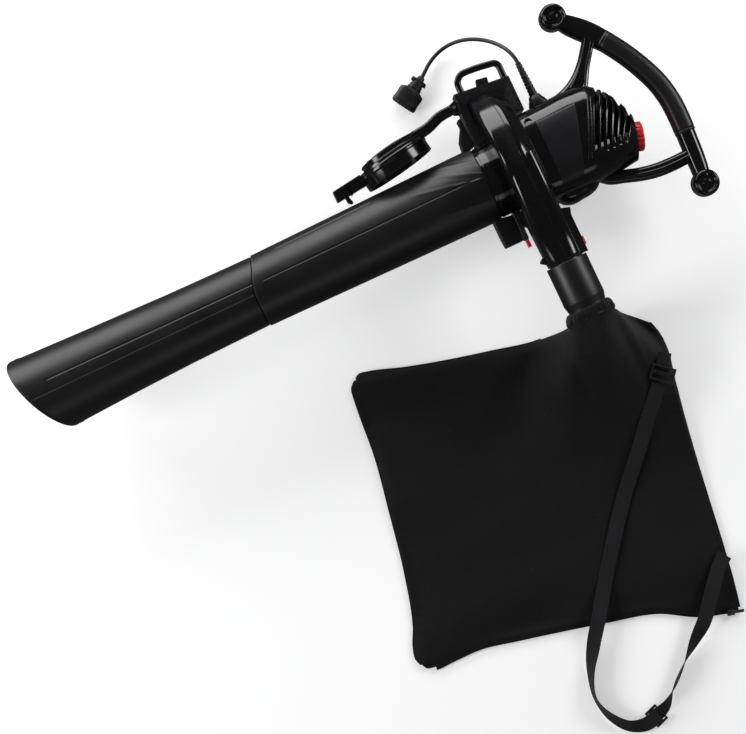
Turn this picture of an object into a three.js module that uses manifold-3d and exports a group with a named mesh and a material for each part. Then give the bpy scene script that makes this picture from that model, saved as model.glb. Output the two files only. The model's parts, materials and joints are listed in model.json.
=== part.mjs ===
// A corded garden blower set up as a vacuum, lying on its side: suction tube, snail fan housing,
// motor housing with an arc handle, open inlet cover, pigtail cord, bag tube, bag and shoulder strap.
// Millimetres, +Z up. All shapes are drawn in blower coordinates: X along the fan axis from the
// scroll's front face towards the motor, Y towards the carry loop, Z towards the side that faces up,
// zero on the fan axis. The group then moves the resting land under the scroll to the origin.
import * as THREE from 'three';
import { mergeVertices } from 'three/addons/utils/BufferGeometryUtils.js';
import Module from 'manifold-3d';

const wasm = await Module();
wasm.setup();

// ---- driving dimensions ----
const GAP = 0.3; // between pieces that touch
const WALL = 3; // moulded housings
const LAND = { x: 15, y: 12 }; // middle of the resting land under the scroll
const AXIS_HEIGHT = 110; // fan axis above the surface it lies on
const SPIRAL = { y: 12, start: 103, growth: 8, close: 24 }; // scroll centre and radii, per quarter turn
const SCROLL = { width: 56, split: 30, flat: 36, front: 6, bevel: 14 };
const COLLAR = { outer: 59.5, spigot: 58.2, inner: 54, end: -22, spigotEnd: -45 };
const JOINT_X = -420; // where the upper tube takes the lower one
const MOUTH = { x: -808, slantY: 0.36, slantZ: 0.26, from: -640 };
const DUCT_Z = 76; // height of the outlet above the fan axis
const DUCT_END = -166;
const BAG_TUBE = { x: 29.7, outer: 33.7, narrow: 31, bore: 28.6, shoulder: -232, end: -262 };
const SPIGOT = { outer: 27.8, bore: 25.4, overlap: 8, end: -194 };
const CUFF = { start: -245, end: -266, outer: 45.5, x: 24 };
const MOTOR = { front: 58, y: 2, halfHeight: 77, halfDepth: 70 };
const DIAL = { x: 221, y: -33, tilt: 0.273, radius: 24, thick: 13 };
const HINGE = { x: -20, y: 131, pin: 2.6 };
const CORD_DIAMETER = 6.5;
const FLOOR = -AXIS_HEIGHT;

// ---- finishes ----
function finish(color, roughness, metalness = 0) {
  return new THREE.MeshStandardMaterial({ color, roughness, metalness });
}
const glossBlack = finish('#0b0b0d', 0.15);
const matteBlack = finish('#1a1a1c', 0.55);
const panelGrey = finish('#26262a', 0.5);
const red = finish('#d3282c', 0.35);
const rubber = finish('#141414', 0.7);
const cloth = finish('#0e0e10', 0.95);
const webbing = finish('#131315', 0.9);
const steel = finish('#b9bcc0', 0.3, 1);
const iron = finish('#5c5e62', 0.5, 1);
const brass = finish('#c9a052', 0.3, 1);
const copper = finish('#b4643a', 0.35, 1);
const carbon = finish('#2a2a2c', 0.8);

// ---- solids ----
function signedVolume(position, index) {
  const a = new THREE.Vector3();
  const b = new THREE.Vector3();
  const c = new THREE.Vector3();
  let volume = 0;
  for (let i = 0; i < index.length; i += 3) {
    a.fromBufferAttribute(position, index[i]);
    b.fromBufferAttribute(position, index[i + 1]);
    c.fromBufferAttribute(position, index[i + 2]);
    volume += a.dot(b.cross(c)) / 6;
  }
  return volume;
}

// drops the triangles that close up where a profile meets its axis
function withoutSlivers(index) {
  return index.filter((_, i) => {
    const first = i - (i % 3);
    const [a, b, c] = index.slice(first, first + 3);
    return a !== b && b !== c && c !== a;
  });
}

// a three.js geometry as a solid whose faces point out
function solidOf(geometry) {
  const bare = new THREE.BufferGeometry();
  bare.setAttribute('position', geometry.getAttribute('position').clone());
  if (geometry.index) bare.setIndex(geometry.index.clone());
  const merged = mergeVertices(bare, 1e-3);
  const position = merged.getAttribute('position');
  const index = withoutSlivers(Array.from(merged.index.array));
  if (signedVolume(position, index) < 0) index.reverse();
  return new wasm.Manifold(new wasm.Mesh({
    numProp: 3,
    vertProperties: Float32Array.from(position.array),
    triVerts: Uint32Array.from(index),
  }));
}

function geometryOf(solid) {
  const mesh = solid.getMesh();
  const geometry = new THREE.BufferGeometry();
  geometry.setAttribute('position', new THREE.BufferAttribute(mesh.vertProperties, 3));
  geometry.setIndex(new THREE.BufferAttribute(mesh.triVerts, 1));
  geometry.computeVertexNormals();
  return geometry;
}

function joined(solids) {
  return solids.reduce((sum, solid) => sum.add(solid));
}

function box(x0, x1, y0, y1, z0, z1) {
  const geometry = new THREE.BoxGeometry(x1 - x0, y1 - y0, z1 - z0);
  return solidOf(geometry.translate((x0 + x1) / 2, (y0 + y1) / 2, (z0 + z1) / 2));
}

// a closed [radius, x] profile turned about the fan axis
function turned(profile, around = 48) {
  const points = [...profile, profile[0]].map(([radius, x]) => new THREE.Vector2(radius, x));
  return solidOf(new THREE.LatheGeometry(points, around).rotateZ(-Math.PI / 2));
}

function rod(radius, from, to, around = 24) {
  return solidOf(rodGeometry(radius, from, to, around));
}

function rodGeometry(radius, from, to, around = 24) {
  const start = new THREE.Vector3(...from);
  const end = new THREE.Vector3(...to);
  const geometry = new THREE.CylinderGeometry(radius, radius, start.distanceTo(end), around);
  const along = end.clone().sub(start).normalize();
  const turn = new THREE.Quaternion().setFromUnitVectors(new THREE.Vector3(0, 1, 0), along);
  return geometry.applyQuaternion(turn).translate(...start.add(end).multiplyScalar(0.5));
}

// an outline in the XY plane, from one height to another
function plate(outline, low, high) {
  const shape = new THREE.Shape(outline.map(([x, y]) => new THREE.Vector2(x, y)));
  const geometry = new THREE.ExtrudeGeometry(shape, { depth: high - low, bevelEnabled: false });
  return solidOf(geometry.translate(0, 0, low));
}

// a solid through stations, each with a centre, two half axes as vectors, and a superellipse power
function loft(stations, around = 24) {
  const geometry = new THREE.CylinderGeometry(1, 1, 1, around, stations.length - 1);
  const position = geometry.getAttribute('position');
  for (let i = 0; i < position.count; i += 1) {
    const x = position.getX(i);
    const z = position.getZ(i);
    const station = stations[Math.round((0.5 - position.getY(i)) * (stations.length - 1))];
    const { centre, across, over, power = 2 } = station;
    const size = Math.hypot(x, z);
    const scale = size < 0.5 ? 0 : (Math.abs(x) ** power + Math.abs(z) ** power) ** (-1 / power);
    const point = centre.clone().addScaledVector(across, x * scale).addScaledVector(over, z * scale);
    position.setXYZ(i, point.x, point.y, point.z);
  }
  return solidOf(geometry);
}

// a bar in the XY plane along [x, y, half width] points, with one half depth in Z
function bar(points, halfDepth, power = 3, around = 20, height = 0) {
  const stations = points.map(([x, y, half], i) => {
    const before = points[Math.max(i - 1, 0)];
    const after = points[Math.min(i + 1, points.length - 1)];
    const along = new THREE.Vector3(after[0] - before[0], after[1] - before[1], 0).normalize();
    const across = new THREE.Vector3(along.y, -along.x, 0).multiplyScalar(half);
    return { centre: new THREE.Vector3(x, y, height), across, over: new THREE.Vector3(0, 0, halfDepth), power };
  });
  return loft(stations, around);
}

// points along a smooth curve through [x, y, half width] marks
function smooth(marks, steps) {
  const curve = new THREE.CatmullRomCurve3(marks.map((mark) => new THREE.Vector3(...mark)), false, 'centripetal');
  return curve.getPoints(steps).map((point) => [point.x, point.y, point.z]);
}

const blower = new THREE.Group();
blower.position.set(-LAND.x, -LAND.y, AXIS_HEIGHT);

function add(name, solid, material) {
  const mesh = new THREE.Mesh(geometryOf(solid), material);
  mesh.name = name;
  blower.add(mesh);
  return mesh;
}

// ---- suction tube ----
function slantMouth(geometry) {
  const position = geometry.getAttribute('position');
  for (let i = 0; i < position.count; i += 1) {
    const x = position.getX(i);
    const share = Math.max(0, (MOUTH.from - x) / (MOUTH.from - MOUTH.x));
    const slant = MOUTH.slantY * position.getY(i) + MOUTH.slantZ * position.getZ(i);
    position.setX(i, x - share * slant);
  }
  return geometry;
}

function lowerTube() {
  const profile = [
    [53.5, -390], [53.5, -432], [56, -434], [58.5, -567], [62.5, -683], [66.8, -783], [68.4, MOUTH.x],
    [66, MOUTH.x], [60.2, -683], [56.2, -567], [51.4, -434], [51.4, -390],
  ].map(([radius, x]) => new THREE.Vector2(radius, x));
  profile.push(profile[0].clone());
  const geometry = new THREE.LatheGeometry(profile, 28).rotateZ(-Math.PI / 2);
  return solidOf(slantMouth(geometry));
}

function upperTube() {
  const shell = turned([[57.6, JOINT_X], [62, -60], [62, -26], [59.6, -26], [59.6, -60], [54.6, JOINT_X]], 28);
  const hook = plate([[-38, 58], [-36, 78], [-24, 99], [-25, 110], [-18, 112], [-16, 62.5], [-26, 58]], -14, 14);
  const latch = plate([[-41, -52], [-41, -92], [-40, -107], [-9, -107], [-9, -63], [-26, -56]], -16, 16);
  const bore = rod(59.8, [-80, 0, 0], [0, 0, 0], 40);
  return joined([shell, joined([hook, latch]).subtract(bore)]);
}

add('lower_tube', lowerTube(), matteBlack);
add('upper_tube', upperTube(), matteBlack);

// ---- fan scroll and outlet duct ----
// radius of the scroll at an angle counted from -Y by way of -Z, +Y and +Z
function spiralRadius(angle) {
  const quarters = angle / (Math.PI / 2);
  const full = SPIRAL.start + 3 * SPIRAL.growth;
  if (quarters <= 3) return SPIRAL.start + SPIRAL.growth * quarters;
  return full - SPIRAL.close * (quarters - 3);
}

function scrollDisc(stations) {
  const geometry = new THREE.CylinderGeometry(1, 1, 1, 36, stations.length - 1);
  const position = geometry.getAttribute('position');
  for (let i = 0; i < position.count; i += 1) {
    const across = position.getX(i);
    const along = position.getZ(i);
    const [x, inset] = stations[Math.round((0.5 - position.getY(i)) * (stations.length - 1))];
    const angle = (Math.atan2(across, along) + 2 * Math.PI) % (2 * Math.PI);
    const radius = Math.hypot(across, along) < 0.5 ? 0 : spiralRadius(angle) - inset;
    position.setXYZ(i, x, SPIRAL.y - radius * Math.cos(angle), -radius * Math.sin(angle));
  }
  return solidOf(geometry);
}

function duct(inset, end) {
  const stations = [
    { y: 10, z: 80, x: 28, halfX: 27, halfZ: 45, power: 5 },
    { y: -45, z: 80, x: 27.5, halfX: 28, halfZ: 40, power: 5 },
    { y: -90, z: 78, x: 27, halfX: 29, halfZ: 35, power: 4 },
    { y: -130, z: DUCT_Z, x: 27.5, halfX: 29, halfZ: 31, power: 3 },
    { y: end, z: DUCT_Z, x: 28.5, halfX: 29, halfZ: 30, power: 2.4 },
  ];
  return loft(stations.map(({ y, z, x, halfX, halfZ, power }) => ({
    centre: new THREE.Vector3(x, y, z),
    across: new THREE.Vector3(halfX - inset, 0, 0),
    over: new THREE.Vector3(0, 0, halfZ - inset),
    power,
  })), 20);
}

const scrollSkin = [[0, SCROLL.front], [SCROLL.front, 0], [SCROLL.flat, 0], [SCROLL.width, SCROLL.bevel]];
const scrollRoom = [
  [WALL, SCROLL.front + WALL], [SCROLL.front + 1, WALL], [SCROLL.flat, WALL],
  [SCROLL.width - WALL, SCROLL.bevel + 1],
];
const scrollOuter = joined([scrollDisc(scrollSkin), duct(0, DUCT_END)]);

function fanScroll() {
  const room = joined([scrollDisc(scrollRoom), duct(WALL, DUCT_END - 1)]);
  const portRod = (radius, y0, y1) => rod(radius, [BAG_TUBE.x, y0, DUCT_Z], [BAG_TUBE.x, y1, DUCT_Z], 32);
  const port = portRod(SPIGOT.bore, DUCT_END + SPIGOT.overlap + 4, SPIGOT.end - 6);
  const spigot = portRod(SPIGOT.outer, DUCT_END + SPIGOT.overlap, SPIGOT.end).subtract(port);
  const rim = duct(0, DUCT_END).intersect(box(-10, 70, DUCT_END, DUCT_END + 4, 30, 120)).subtract(port);
  const collar = turned([
    [COLLAR.inner, 4], [COLLAR.inner, COLLAR.spigotEnd], [COLLAR.spigot, COLLAR.spigotEnd],
    [COLLAR.spigot, COLLAR.end], [COLLAR.outer, COLLAR.end], [COLLAR.outer, 4],
  ], 40);
  const lug = plate([[4, -143], [-8, -151], [-9, -153], [4, -162]], DUCT_Z - 9, DUCT_Z + 9);
  const shell = joined([scrollOuter, lug]).subtract(room).subtract(rod(COLLAR.inner, [-1, 0, 0], [10, 0, 0], 40));
  return joined([shell, collar, rim, spigot])
    .subtract(rod(9, [40, 0, 0], [70, 0, 0]))
    .subtract(box(-60, 90, -80, 80, -150, FLOOR));
}

const scroll = fanScroll();
const frontPart = box(-60, SCROLL.split - GAP / 2, -220, 160, -140, 150);
const rearPart = box(SCROLL.split + GAP / 2, 90, -220, 160, -140, 150);
add('fan_scroll_front', scroll.intersect(frontPart), glossBlack);
add('fan_scroll_rear', scroll.intersect(rearPart), glossBlack);

// ---- tube latch ----
const tower = { front: -7.7, back: -0.3, end: -108, root: -60, halfDepth: 15 };
const tubeButton = { front: -6, back: -0.9, end: -121, stem: -88, halfDepth: 8.5 };
const ROOM = 0.5; // round a button in its channel

function latchTower() {
  const collarRoom = rod(COLLAR.outer + GAP, [-30, 0, 0], [10, 0, 0], 40);
  const block = box(tower.front, tower.back, tower.end, tower.root, -tower.halfDepth, tower.halfDepth);
  const half = tubeButton.halfDepth + ROOM;
  const way = box(tubeButton.front - ROOM, 2, tower.end - 2, -76, -half, half);
  return block.subtract(collarRoom).subtract(way);
}

add('tube_latch_tower', latchTower(), glossBlack);
const { front: keyFront, back: keyBack, end: keyEnd, stem: keyStem, halfDepth: keyHalf } = tubeButton;
add('tube_release_button', box(keyFront, keyBack, keyEnd, keyStem, -keyHalf, keyHalf), red);

// a coil spring between two points along one axis
function spring(from, to, radius, wire, turns) {
  const start = new THREE.Vector3(...from);
  const end = new THREE.Vector3(...to);
  const along = end.clone().sub(start);
  const side = new THREE.Vector3(0, 0, 1);
  const other = along.clone().normalize().cross(side);
  const points = Array.from({ length: turns * 6 + 1 }, (_, i) => {
    const angle = (i / 6) * 2 * Math.PI;
    return start.clone().addScaledVector(along, i / (turns * 6))
      .addScaledVector(side, radius * Math.cos(angle)).addScaledVector(other, radius * Math.sin(angle));
  });
  return swept(points, wire / 2, 5, turns * 6);
}

function swept(points, radius, sides, steps) {
  const section = new THREE.Shape(Array.from({ length: sides }, (_, i) => {
    const angle = (i / sides) * 2 * Math.PI;
    return new THREE.Vector2(radius * Math.cos(angle), radius * Math.sin(angle));
  }));
  const extrudePath = new THREE.CatmullRomCurve3(points, false, 'centripetal');
  return solidOf(new THREE.ExtrudeGeometry(section, { steps, extrudePath }));
}

add('tube_button_spring', spring([-3.4, -87.2, 0], [-3.4, -76.8, 0], 2, 0.7, 4), steel);

// ---- bag latch ----
const channel = { left: 52, right: 66.5, top: -93, bottom: -167, halfDepth: 14 };
const bagButton = { x0: 64, x1: 70, y0: -155, y1: -141, halfDepth: 7, pocket: 57.8 };

function latchChannel() {
  const outline = [
    [channel.left, channel.top + 6], [70, channel.top], [channel.right, channel.top - 11],
    [channel.right, channel.bottom + 1], [channel.left, channel.bottom + 1],
  ];
  const block = plate(outline, DUCT_Z - channel.halfDepth, DUCT_Z + channel.halfDepth);
  const pocket = box(
    bagButton.pocket, 75, bagButton.y0 - GAP, bagButton.y1 + GAP,
    DUCT_Z - bagButton.halfDepth - GAP, DUCT_Z + bagButton.halfDepth + GAP,
  );
  return block.subtract(duct(-GAP, DUCT_END)).subtract(pocket);
}

add('bag_latch_channel', latchChannel(), glossBlack);
const bagButtonSolid = box(
  bagButton.x0, bagButton.x1, bagButton.y0, bagButton.y1, DUCT_Z - bagButton.halfDepth, DUCT_Z + bagButton.halfDepth,
);
add('bag_release_button', bagButtonSolid, red);
add('bag_button_spring', spring([58.5, -148, DUCT_Z], [63.2, -148, DUCT_Z], 3, 0.7, 3), steel);

// ---- carry bracket and loop ----
function carryBracket() {
  const frame = plate([
    [-15, 62], [-15, 122], [-13, 131], [-13, 149], [79, 139.5], [79, 80.5], [61.5, 80.5], [61.5, 104],
    [52, 118], [0.5, 118], [-0.4, 62],
  ], -24, 24);
  const tab = plate([[27, 143], [31, 157], [49, 154], [47, 141]], -9, 9);
  const roomDisc = scrollDisc([[-1, 5], [5.6, -0.6], [36.4, -0.6], [58, 13]]);
  const collarRoom = rod(COLLAR.outer + GAP, [-30, 0, 0], [10, 0, 0], 40);
  const ears = [[-19, -13.4], [13.4, 19]].map(([low, high]) => plate([
    [-28, 131], [-25, 138], [-15, 141], [-12, 141], [-12, 118], [-22, 122],
  ], low, high));
  const swing = rod(10.4, [HINGE.x, HINGE.y, -13.4], [HINGE.x, HINGE.y, 13.4]);
  const pinHole = rod(HINGE.pin + GAP, [HINGE.x, HINGE.y, -25], [HINGE.x, HINGE.y, 25], 20);
  return joined([frame, tab, ...ears]).subtract(roomDisc).subtract(collarRoom).subtract(swing).subtract(pinHole);
}

add('carry_bracket', carryBracket(), glossBlack);

// a bar with an eight-sided section and true flats, along [x, y] corners
function flatBar(corners, halfWidth, halfDepth) {
  const stations = corners.map(([x, y], i) => {
    const before = corners[Math.max(i - 1, 0)];
    const after = corners[Math.min(i + 1, corners.length - 1)];
    const into = new THREE.Vector2(x - before[0], y - before[1]).normalize();
    const out = new THREE.Vector2(after[0] - x, after[1] - y).normalize();
    const along = into.clone().add(out).normalize();
    const mitre = 1 / Math.max(0.7, along.dot(out.lengthSq() > 0 ? out : into));
    const across = new THREE.Vector3(along.y, -along.x, 0).multiplyScalar(halfWidth * mitre);
    return { centre: new THREE.Vector3(x, y, 0), across, over: new THREE.Vector3(0, 0, halfDepth), power: 2 };
  });
  const geometry = new THREE.CylinderGeometry(1, 1, 1, 8, stations.length - 1);
  geometry.rotateY(Math.PI / 8);
  const position = geometry.getAttribute('position');
  const flat = Math.cos(Math.PI / 8);
  for (let i = 0; i < position.count; i += 1) {
    const station = stations[Math.round((0.5 - position.getY(i)) * (stations.length - 1))];
    const point = station.centre.clone().addScaledVector(station.across, position.getX(i) / flat)
      .addScaledVector(station.over, position.getZ(i) / flat);
    position.setXYZ(i, point.x, point.y, point.z);
  }
  return solidOf(geometry);
}

function arcCorner(x, y, radius, from, to, steps = 4) {
  return Array.from({ length: steps + 1 }, (_, i) => {
    const angle = from + ((to - from) * i) / steps;
    return [x + radius * Math.cos(angle), y + radius * Math.sin(angle)];
  });
}

const loopBar = [
  [2.2, 147.9], ...arcCorner(19, 159.5, 16.8, Math.PI, Math.PI / 2 - 0.09),
  ...arcCorner(64.4, 160.8, 10.2, Math.PI / 2 - 0.09, 0, 3), [74.6, 140.4],
];
add('carry_loop', flatBar(loopBar, 4.4, 6), glossBlack);

// ---- inlet cover ----
const cover = { x: -141.5, y: 95.5, tilt: 0.168, radius: 60 };
// a point given across the cover and out along its axis, in blower coordinates
function onCover(across, out) {
  const c = Math.cos(cover.tilt);
  const s = Math.sin(cover.tilt);
  return [cover.x + across * c - out * s, cover.y + across * s + out * c];
}

function coverTurned(profile, around = 24) {
  const points = [...profile, profile[0]].map(([radius, out]) => new THREE.Vector2(radius, out));
  const geometry = new THREE.LatheGeometry(points, around).rotateZ(cover.tilt);
  return solidOf(geometry.translate(cover.x, cover.y, 0));
}

function inletCover() {
  const rim = coverTurned([
    [60, -17.5], [60, 2], [61.5, 2], [60, 10], [54, 20], [30, 24.5], [30, 21.5], [50, 17.5], [56, 8],
    [56.5, -17.5],
  ]);
  const spokes = Array.from({ length: 6 }, (_, i) => {
    const spoke = new THREE.BoxGeometry(52, 3, 5).translate(34, 20, 0).rotateY((i * Math.PI) / 3 + 0.3);
    return solidOf(spoke.rotateZ(cover.tilt).translate(cover.x, cover.y, 0));
  }).map((spoke) => spoke.intersect(coverTurned([[8, 15], [8, 26], [54, 26], [54, 15]])));
  const ring = (radius) => coverTurned([
    [radius - 2.2, 18.6], [radius - 2.2, 21.4], [radius + 2.2, 21.4], [radius + 2.2, 18.6],
  ]);
  const hub = coverTurned([[0, 18.6], [0, 21.4], [12, 21.4], [12, 18.6]], 24);
  const arm = plate([
    onCover(50, 4), onCover(47, 24.5), [-60, 133.5], [-32, 138], [-22, 139], [-20, 131], [-22, 123.6],
    [-27, 123.6], [-57, 120], [-80, 107.5],
  ], -13, 13);
  const knuckle = rod(8, [HINGE.x, HINGE.y, -13], [HINGE.x, HINGE.y, 13]);
  const room = coverTurned([[0, -20], [0, 18.6], [50, 16.4], [56, 8], [56, -20]]);
  const body = joined([rim, joined([arm, knuckle]).subtract(room), ...spokes, ring(21), hub]);
  return body.subtract(rod(HINGE.pin + GAP, [HINGE.x, HINGE.y, -20], [HINGE.x, HINGE.y, 20], 20));
}

function coverLatch() {
  const lug = plate([onCover(-62.2, -4.5), onCover(-63, 11), onCover(-110, 13.5), onCover(-112, -0.5)], -9, 9);
  const hook = plate([
    onCover(-94, -1), onCover(-98.5, -1), onCover(-99, -13), onCover(-95, -17), onCover(-91.5, -16),
  ], -5, 5);
  return joined([lug, hook]);
}

add('inlet_cover', inletCover(), glossBlack);
add('cover_latch', coverLatch(), glossBlack);

add('cover_hinge_pin', rod(HINGE.pin, [HINGE.x, HINGE.y, -20], [HINGE.x, HINGE.y, 20], 20), steel);

// ---- motor housing ----
function motorHull(inset) {
  const station = (x, y, halfY, halfZ, tilt, power) => ({
    centre: new THREE.Vector3(x, y, 0),
    across: new THREE.Vector3(Math.sin(tilt), Math.cos(tilt), 0).multiplyScalar(halfY - inset),
    over: new THREE.Vector3(0, 0, halfZ - inset),
    power,
  });
  const { front, y, halfHeight, halfDepth } = MOTOR;
  const tail = -inset;
  return loft([
    station(front + (inset ? -1 : 0), y, halfHeight - 2, halfDepth, 0, 3),
    station(150, y, halfHeight, halfDepth, 0, 3),
    station(178, 0, 74, 66, 0.05, 2.8),
    station(198 + tail * 0.4, -10, 63, 58, 0.14, 2.5),
    station(212 + tail * 0.8, -22, 50, 47, 0.22, 2.3),
    station(221.5 + tail, -33, 38, 36, DIAL.tilt, 2.1),
  ], 24);
}

// long slots between the slanted ribs, cut through the shell
function ventSlots(near) {
  const slots = Array.from({ length: 6 }, (_, i) => {
    const slot = new THREE.BoxGeometry(5, 190, 90).translate(0, 95, near * 47);
    return solidOf(slot.rotateZ(-0.42).translate(146 + i * 11.4, -36, 0));
  });
  return joined(slots);
}

const screws = { front: [71, 56], rear: [216, 10] };
const boss = { radius: 6.5, head: 4.4, hole: 2.2, seat: 14 };

function motorShell(near) {
  const outer = motorHull(0);
  const inner = motorHull(WALL);
  const bump = plate([[77, -70], [80, -90], [130, -85], [133, -70]], -26, 8);
  const posts = Object.values(screws).map(([x, y]) => rod(boss.radius, [x, y, -80], [x, y, 80], 16));
  const hull = joined([outer.subtract(inner), joined(posts).intersect(outer), bump.subtract(inner)]);
  const holes = Object.values(screws).map(([x, y]) => joined([
    rod(boss.hole, [x, y, -boss.seat * 2.4], [x, y, boss.seat + 1], 12),
    rod(boss.head, [x, y, boss.seat], [x, y, 90], 16),
  ]));
  const half = near > 0 ? box(0, 260, -110, 110, GAP / 2, 90) : box(0, 260, -110, 110, -90, -GAP / 2);
  const keep = box(131, 226, -34, 90, near > 0 ? 0 : -90, near > 0 ? 90 : 0);
  const vents = ventSlots(near).intersect(keep);
  const dialSeat = rod(9, [205, -29.5, 0], [240, -39.2, 0]);
  const panelSeat = near > 0 ? plate(panelOutline(0.4), 67.4, 80) : undefined;
  let shell = hull.subtract(vents.subtract(joined(posts))).subtract(joined(holes)).subtract(dialSeat).intersect(half);
  if (panelSeat) shell = shell.subtract(panelSeat);
  return shell.subtract(box(50, 61.4, 79.8, 90, -30, 30));
}

function panelOutline(grow) {
  return [
    [80 - grow, 52 + grow], [150 + 1.6 * grow, 53 + grow], [116 + grow, -57 - grow], [79 - grow, -58 - grow],
  ];
}

add('motor_shell_near', motorShell(1), glossBlack);
add('motor_shell_far', motorShell(-1), glossBlack);
add('side_panel', plate(panelOutline(0), 67.7, 70.4), panelGrey);

for (const [name, [x, y]] of Object.entries(screws)) {
  const head = rod(3.9, [x, y, boss.seat + GAP], [x, y, boss.seat + 3.2], 12);
  const shank = rod(1.9, [x, y, -30], [x, y, boss.seat + 1], 10);
  add(`case_screw_${name}`, joined([head, shank]), steel);
}

// ---- handle ----
const arcMarks = [
  [190.5, 187.5, 12], [200, 176.5, 15], [224, 151, 17.5], [246, 123, 16.5], [264, 94, 16], [281, 60, 15.5],
  [293, 28, 15],
  [299, -4, 15], [300, -40, 15], [298, -75, 15], [296, -108, 14.5], [294.5, -126, 13.5], [293.3, -137, 12.5],
];
const upperArm = [[168, 79.5, 10], [184, 92, 10], [199, 109, 9.5], [213, 127, 9.5], [226, 145, 10]];
const lowerArm = [
  [158, -77, 9], [180, -83, 10.5], [205, -91, 11], [232, -96.5, 11.5], [262, -98, 11.5], [292, -97, 11],
];
const gripMarks = [
  [240, 132, 0], [246, 123, 0], [264, 94, 0], [281, 60, 0], [293, 28, 0], [299, -4, 0], [300, -40, 0], [299, -62, 0],
];
const grip = { outer: 16.4, inner: 13.6, outerDepth: 19, innerDepth: 15.6 };

function gripSolid(half, depth, marks) {
  return bar(smooth(marks, 11).map(([x, y]) => [x, y, half]), depth, 2.8, 12);
}

function handleShell(near) {
  const arc = bar(smooth(arcMarks, 14), 17.5, 2.8, 12);
  const arms = joined([bar(smooth(upperArm, 5), 14, 3, 12), bar(smooth(lowerArm, 6), 14, 3, 12)]);
  const ends = [[236, 137.5, 0], ...gripMarks.slice(1, -1), [299.2, -66, 0]];
  const longer = gripSolid(grip.outer + 3, grip.outerDepth + 3, gripMarks);
  const core = gripSolid(grip.inner - GAP, grip.innerDepth - GAP, ends);
  const room = gripSolid(grip.inner - WALL, grip.innerDepth - WALL, gripMarks.slice(1, -1));
  const solid = joined([arc.subtract(longer), core, arms]).subtract(room);
  const half = near > 0 ? box(100, 330, -220, 220, GAP / 2, 60) : box(100, 330, -220, 220, -60, -GAP / 2);
  return solid.subtract(motorHull(-GAP)).intersect(half);
}

add('handle_near', handleShell(1), glossBlack);
add('handle_far', handleShell(-1), glossBlack);
const sleeve = gripSolid(grip.outer, grip.outerDepth, gripMarks.map(([x, y]) => [x, y, 0]));
const sleeveRoom = gripSolid(grip.inner, grip.innerDepth, [[234, 140, 0], ...gripMarks.slice(1, -1), [299.2, -70, 0]]);
const sleeveEnds = gripSolid(grip.outer + 3, grip.outerDepth + 3, gripMarks.map(([x, y]) => [x, y, 0]));
add('handle_grip', sleeve.subtract(sleeveRoom).intersect(sleeveEnds), matteBlack);

const knobs = { upper: { x: 184.5, y: 195 }, lower: { x: 293, y: -148 } };
const knob = { radius: 21.5, halfDepth: 20, pocket: 14.5, pocketDepth: 3 };

function knobProfile() {
  const { radius, halfDepth, pocket, pocketDepth } = knob;
  return [
    [0, -halfDepth + pocketDepth], [pocket, -halfDepth + pocketDepth], [pocket, -halfDepth],
    [radius - 5, -halfDepth], [radius - 1.2, -halfDepth + 4], [radius, -10], [radius, 10],
    [radius - 1.2, halfDepth - 4], [radius - 5, halfDepth], [pocket, halfDepth],
    [pocket, halfDepth - pocketDepth], [0, halfDepth - pocketDepth],
  ];
}

for (const [name, { x, y }] of Object.entries(knobs)) {
  const points = [...knobProfile(), knobProfile()[0]].map(([r, z]) => new THREE.Vector2(r, z));
  const puck = solidOf(new THREE.LatheGeometry(points, 20).rotateX(Math.PI / 2).translate(x, y, 0));
  const arc = bar(smooth(arcMarks, 14).map(([px, py, half]) => [px, py, half + GAP]), 17.5 + GAP, 2.8, 12);
  add(`handle_knob_${name}`, puck.subtract(arc), glossBlack);
}

// ---- speed dial and switch ----
function onBack(out, up = 0) {
  const c = Math.cos(DIAL.tilt);
  const s = Math.sin(DIAL.tilt);
  return [DIAL.x + out * c + up * s, DIAL.y - out * s + up * c];
}

function speedDial() {
  const rim = new THREE.Shape(Array.from({ length: 48 }, (_, i) => {
    const angle = (i / 48) * 2 * Math.PI;
    const radius = DIAL.radius - (i % 4 === 0 ? 1.6 : 0);
    return new THREE.Vector2(radius * Math.cos(angle), radius * Math.sin(angle));
  }));
  const disc = new THREE.ExtrudeGeometry(rim, { depth: DIAL.thick, bevelEnabled: false });
  disc.rotateY(Math.PI / 2).rotateZ(-DIAL.tilt);
  return solidOf(disc.translate(...onBack(1.2), 0));
}

const spindle = rod(4, [...onBack(-26), 0], [...onBack(0.9), 0], 16);
add('speed_dial', speedDial(), red);
add('dial_spindle', spindle, matteBlack);
const switchBlock = new THREE.BoxGeometry(16, 26, 24).rotateZ(-DIAL.tilt).translate(...onBack(-20), 0);
add('speed_switch', solidOf(switchBlock).subtract(rod(4.4, [...onBack(-40), 0], [...onBack(5), 0], 16)), matteBlack);

// ---- fan and motor ----
function impeller() {
  const plateDisc = turned([[0, 42], [78, 42], [78, 44.5], [0, 44.5]], 36);
  const hub = turned([[0, 16], [14, 18], [20, 43], [0, 43]], 20);
  const blades = Array.from({ length: 9 }, (_, i) => {
    const blade = new THREE.BoxGeometry(32, 62, 2.4).translate(27.5, 47, 14);
    return solidOf(blade.rotateX((i / 9) * 2 * Math.PI));
  });
  const rim = turned([[0, 10], [78, 10], [78, 43], [0, 43]], 36);
  return joined([plateDisc, hub, joined(blades).intersect(rim)]).subtract(rod(5.2, [0, 0, 0], [60, 0, 0], 20));
}

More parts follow.
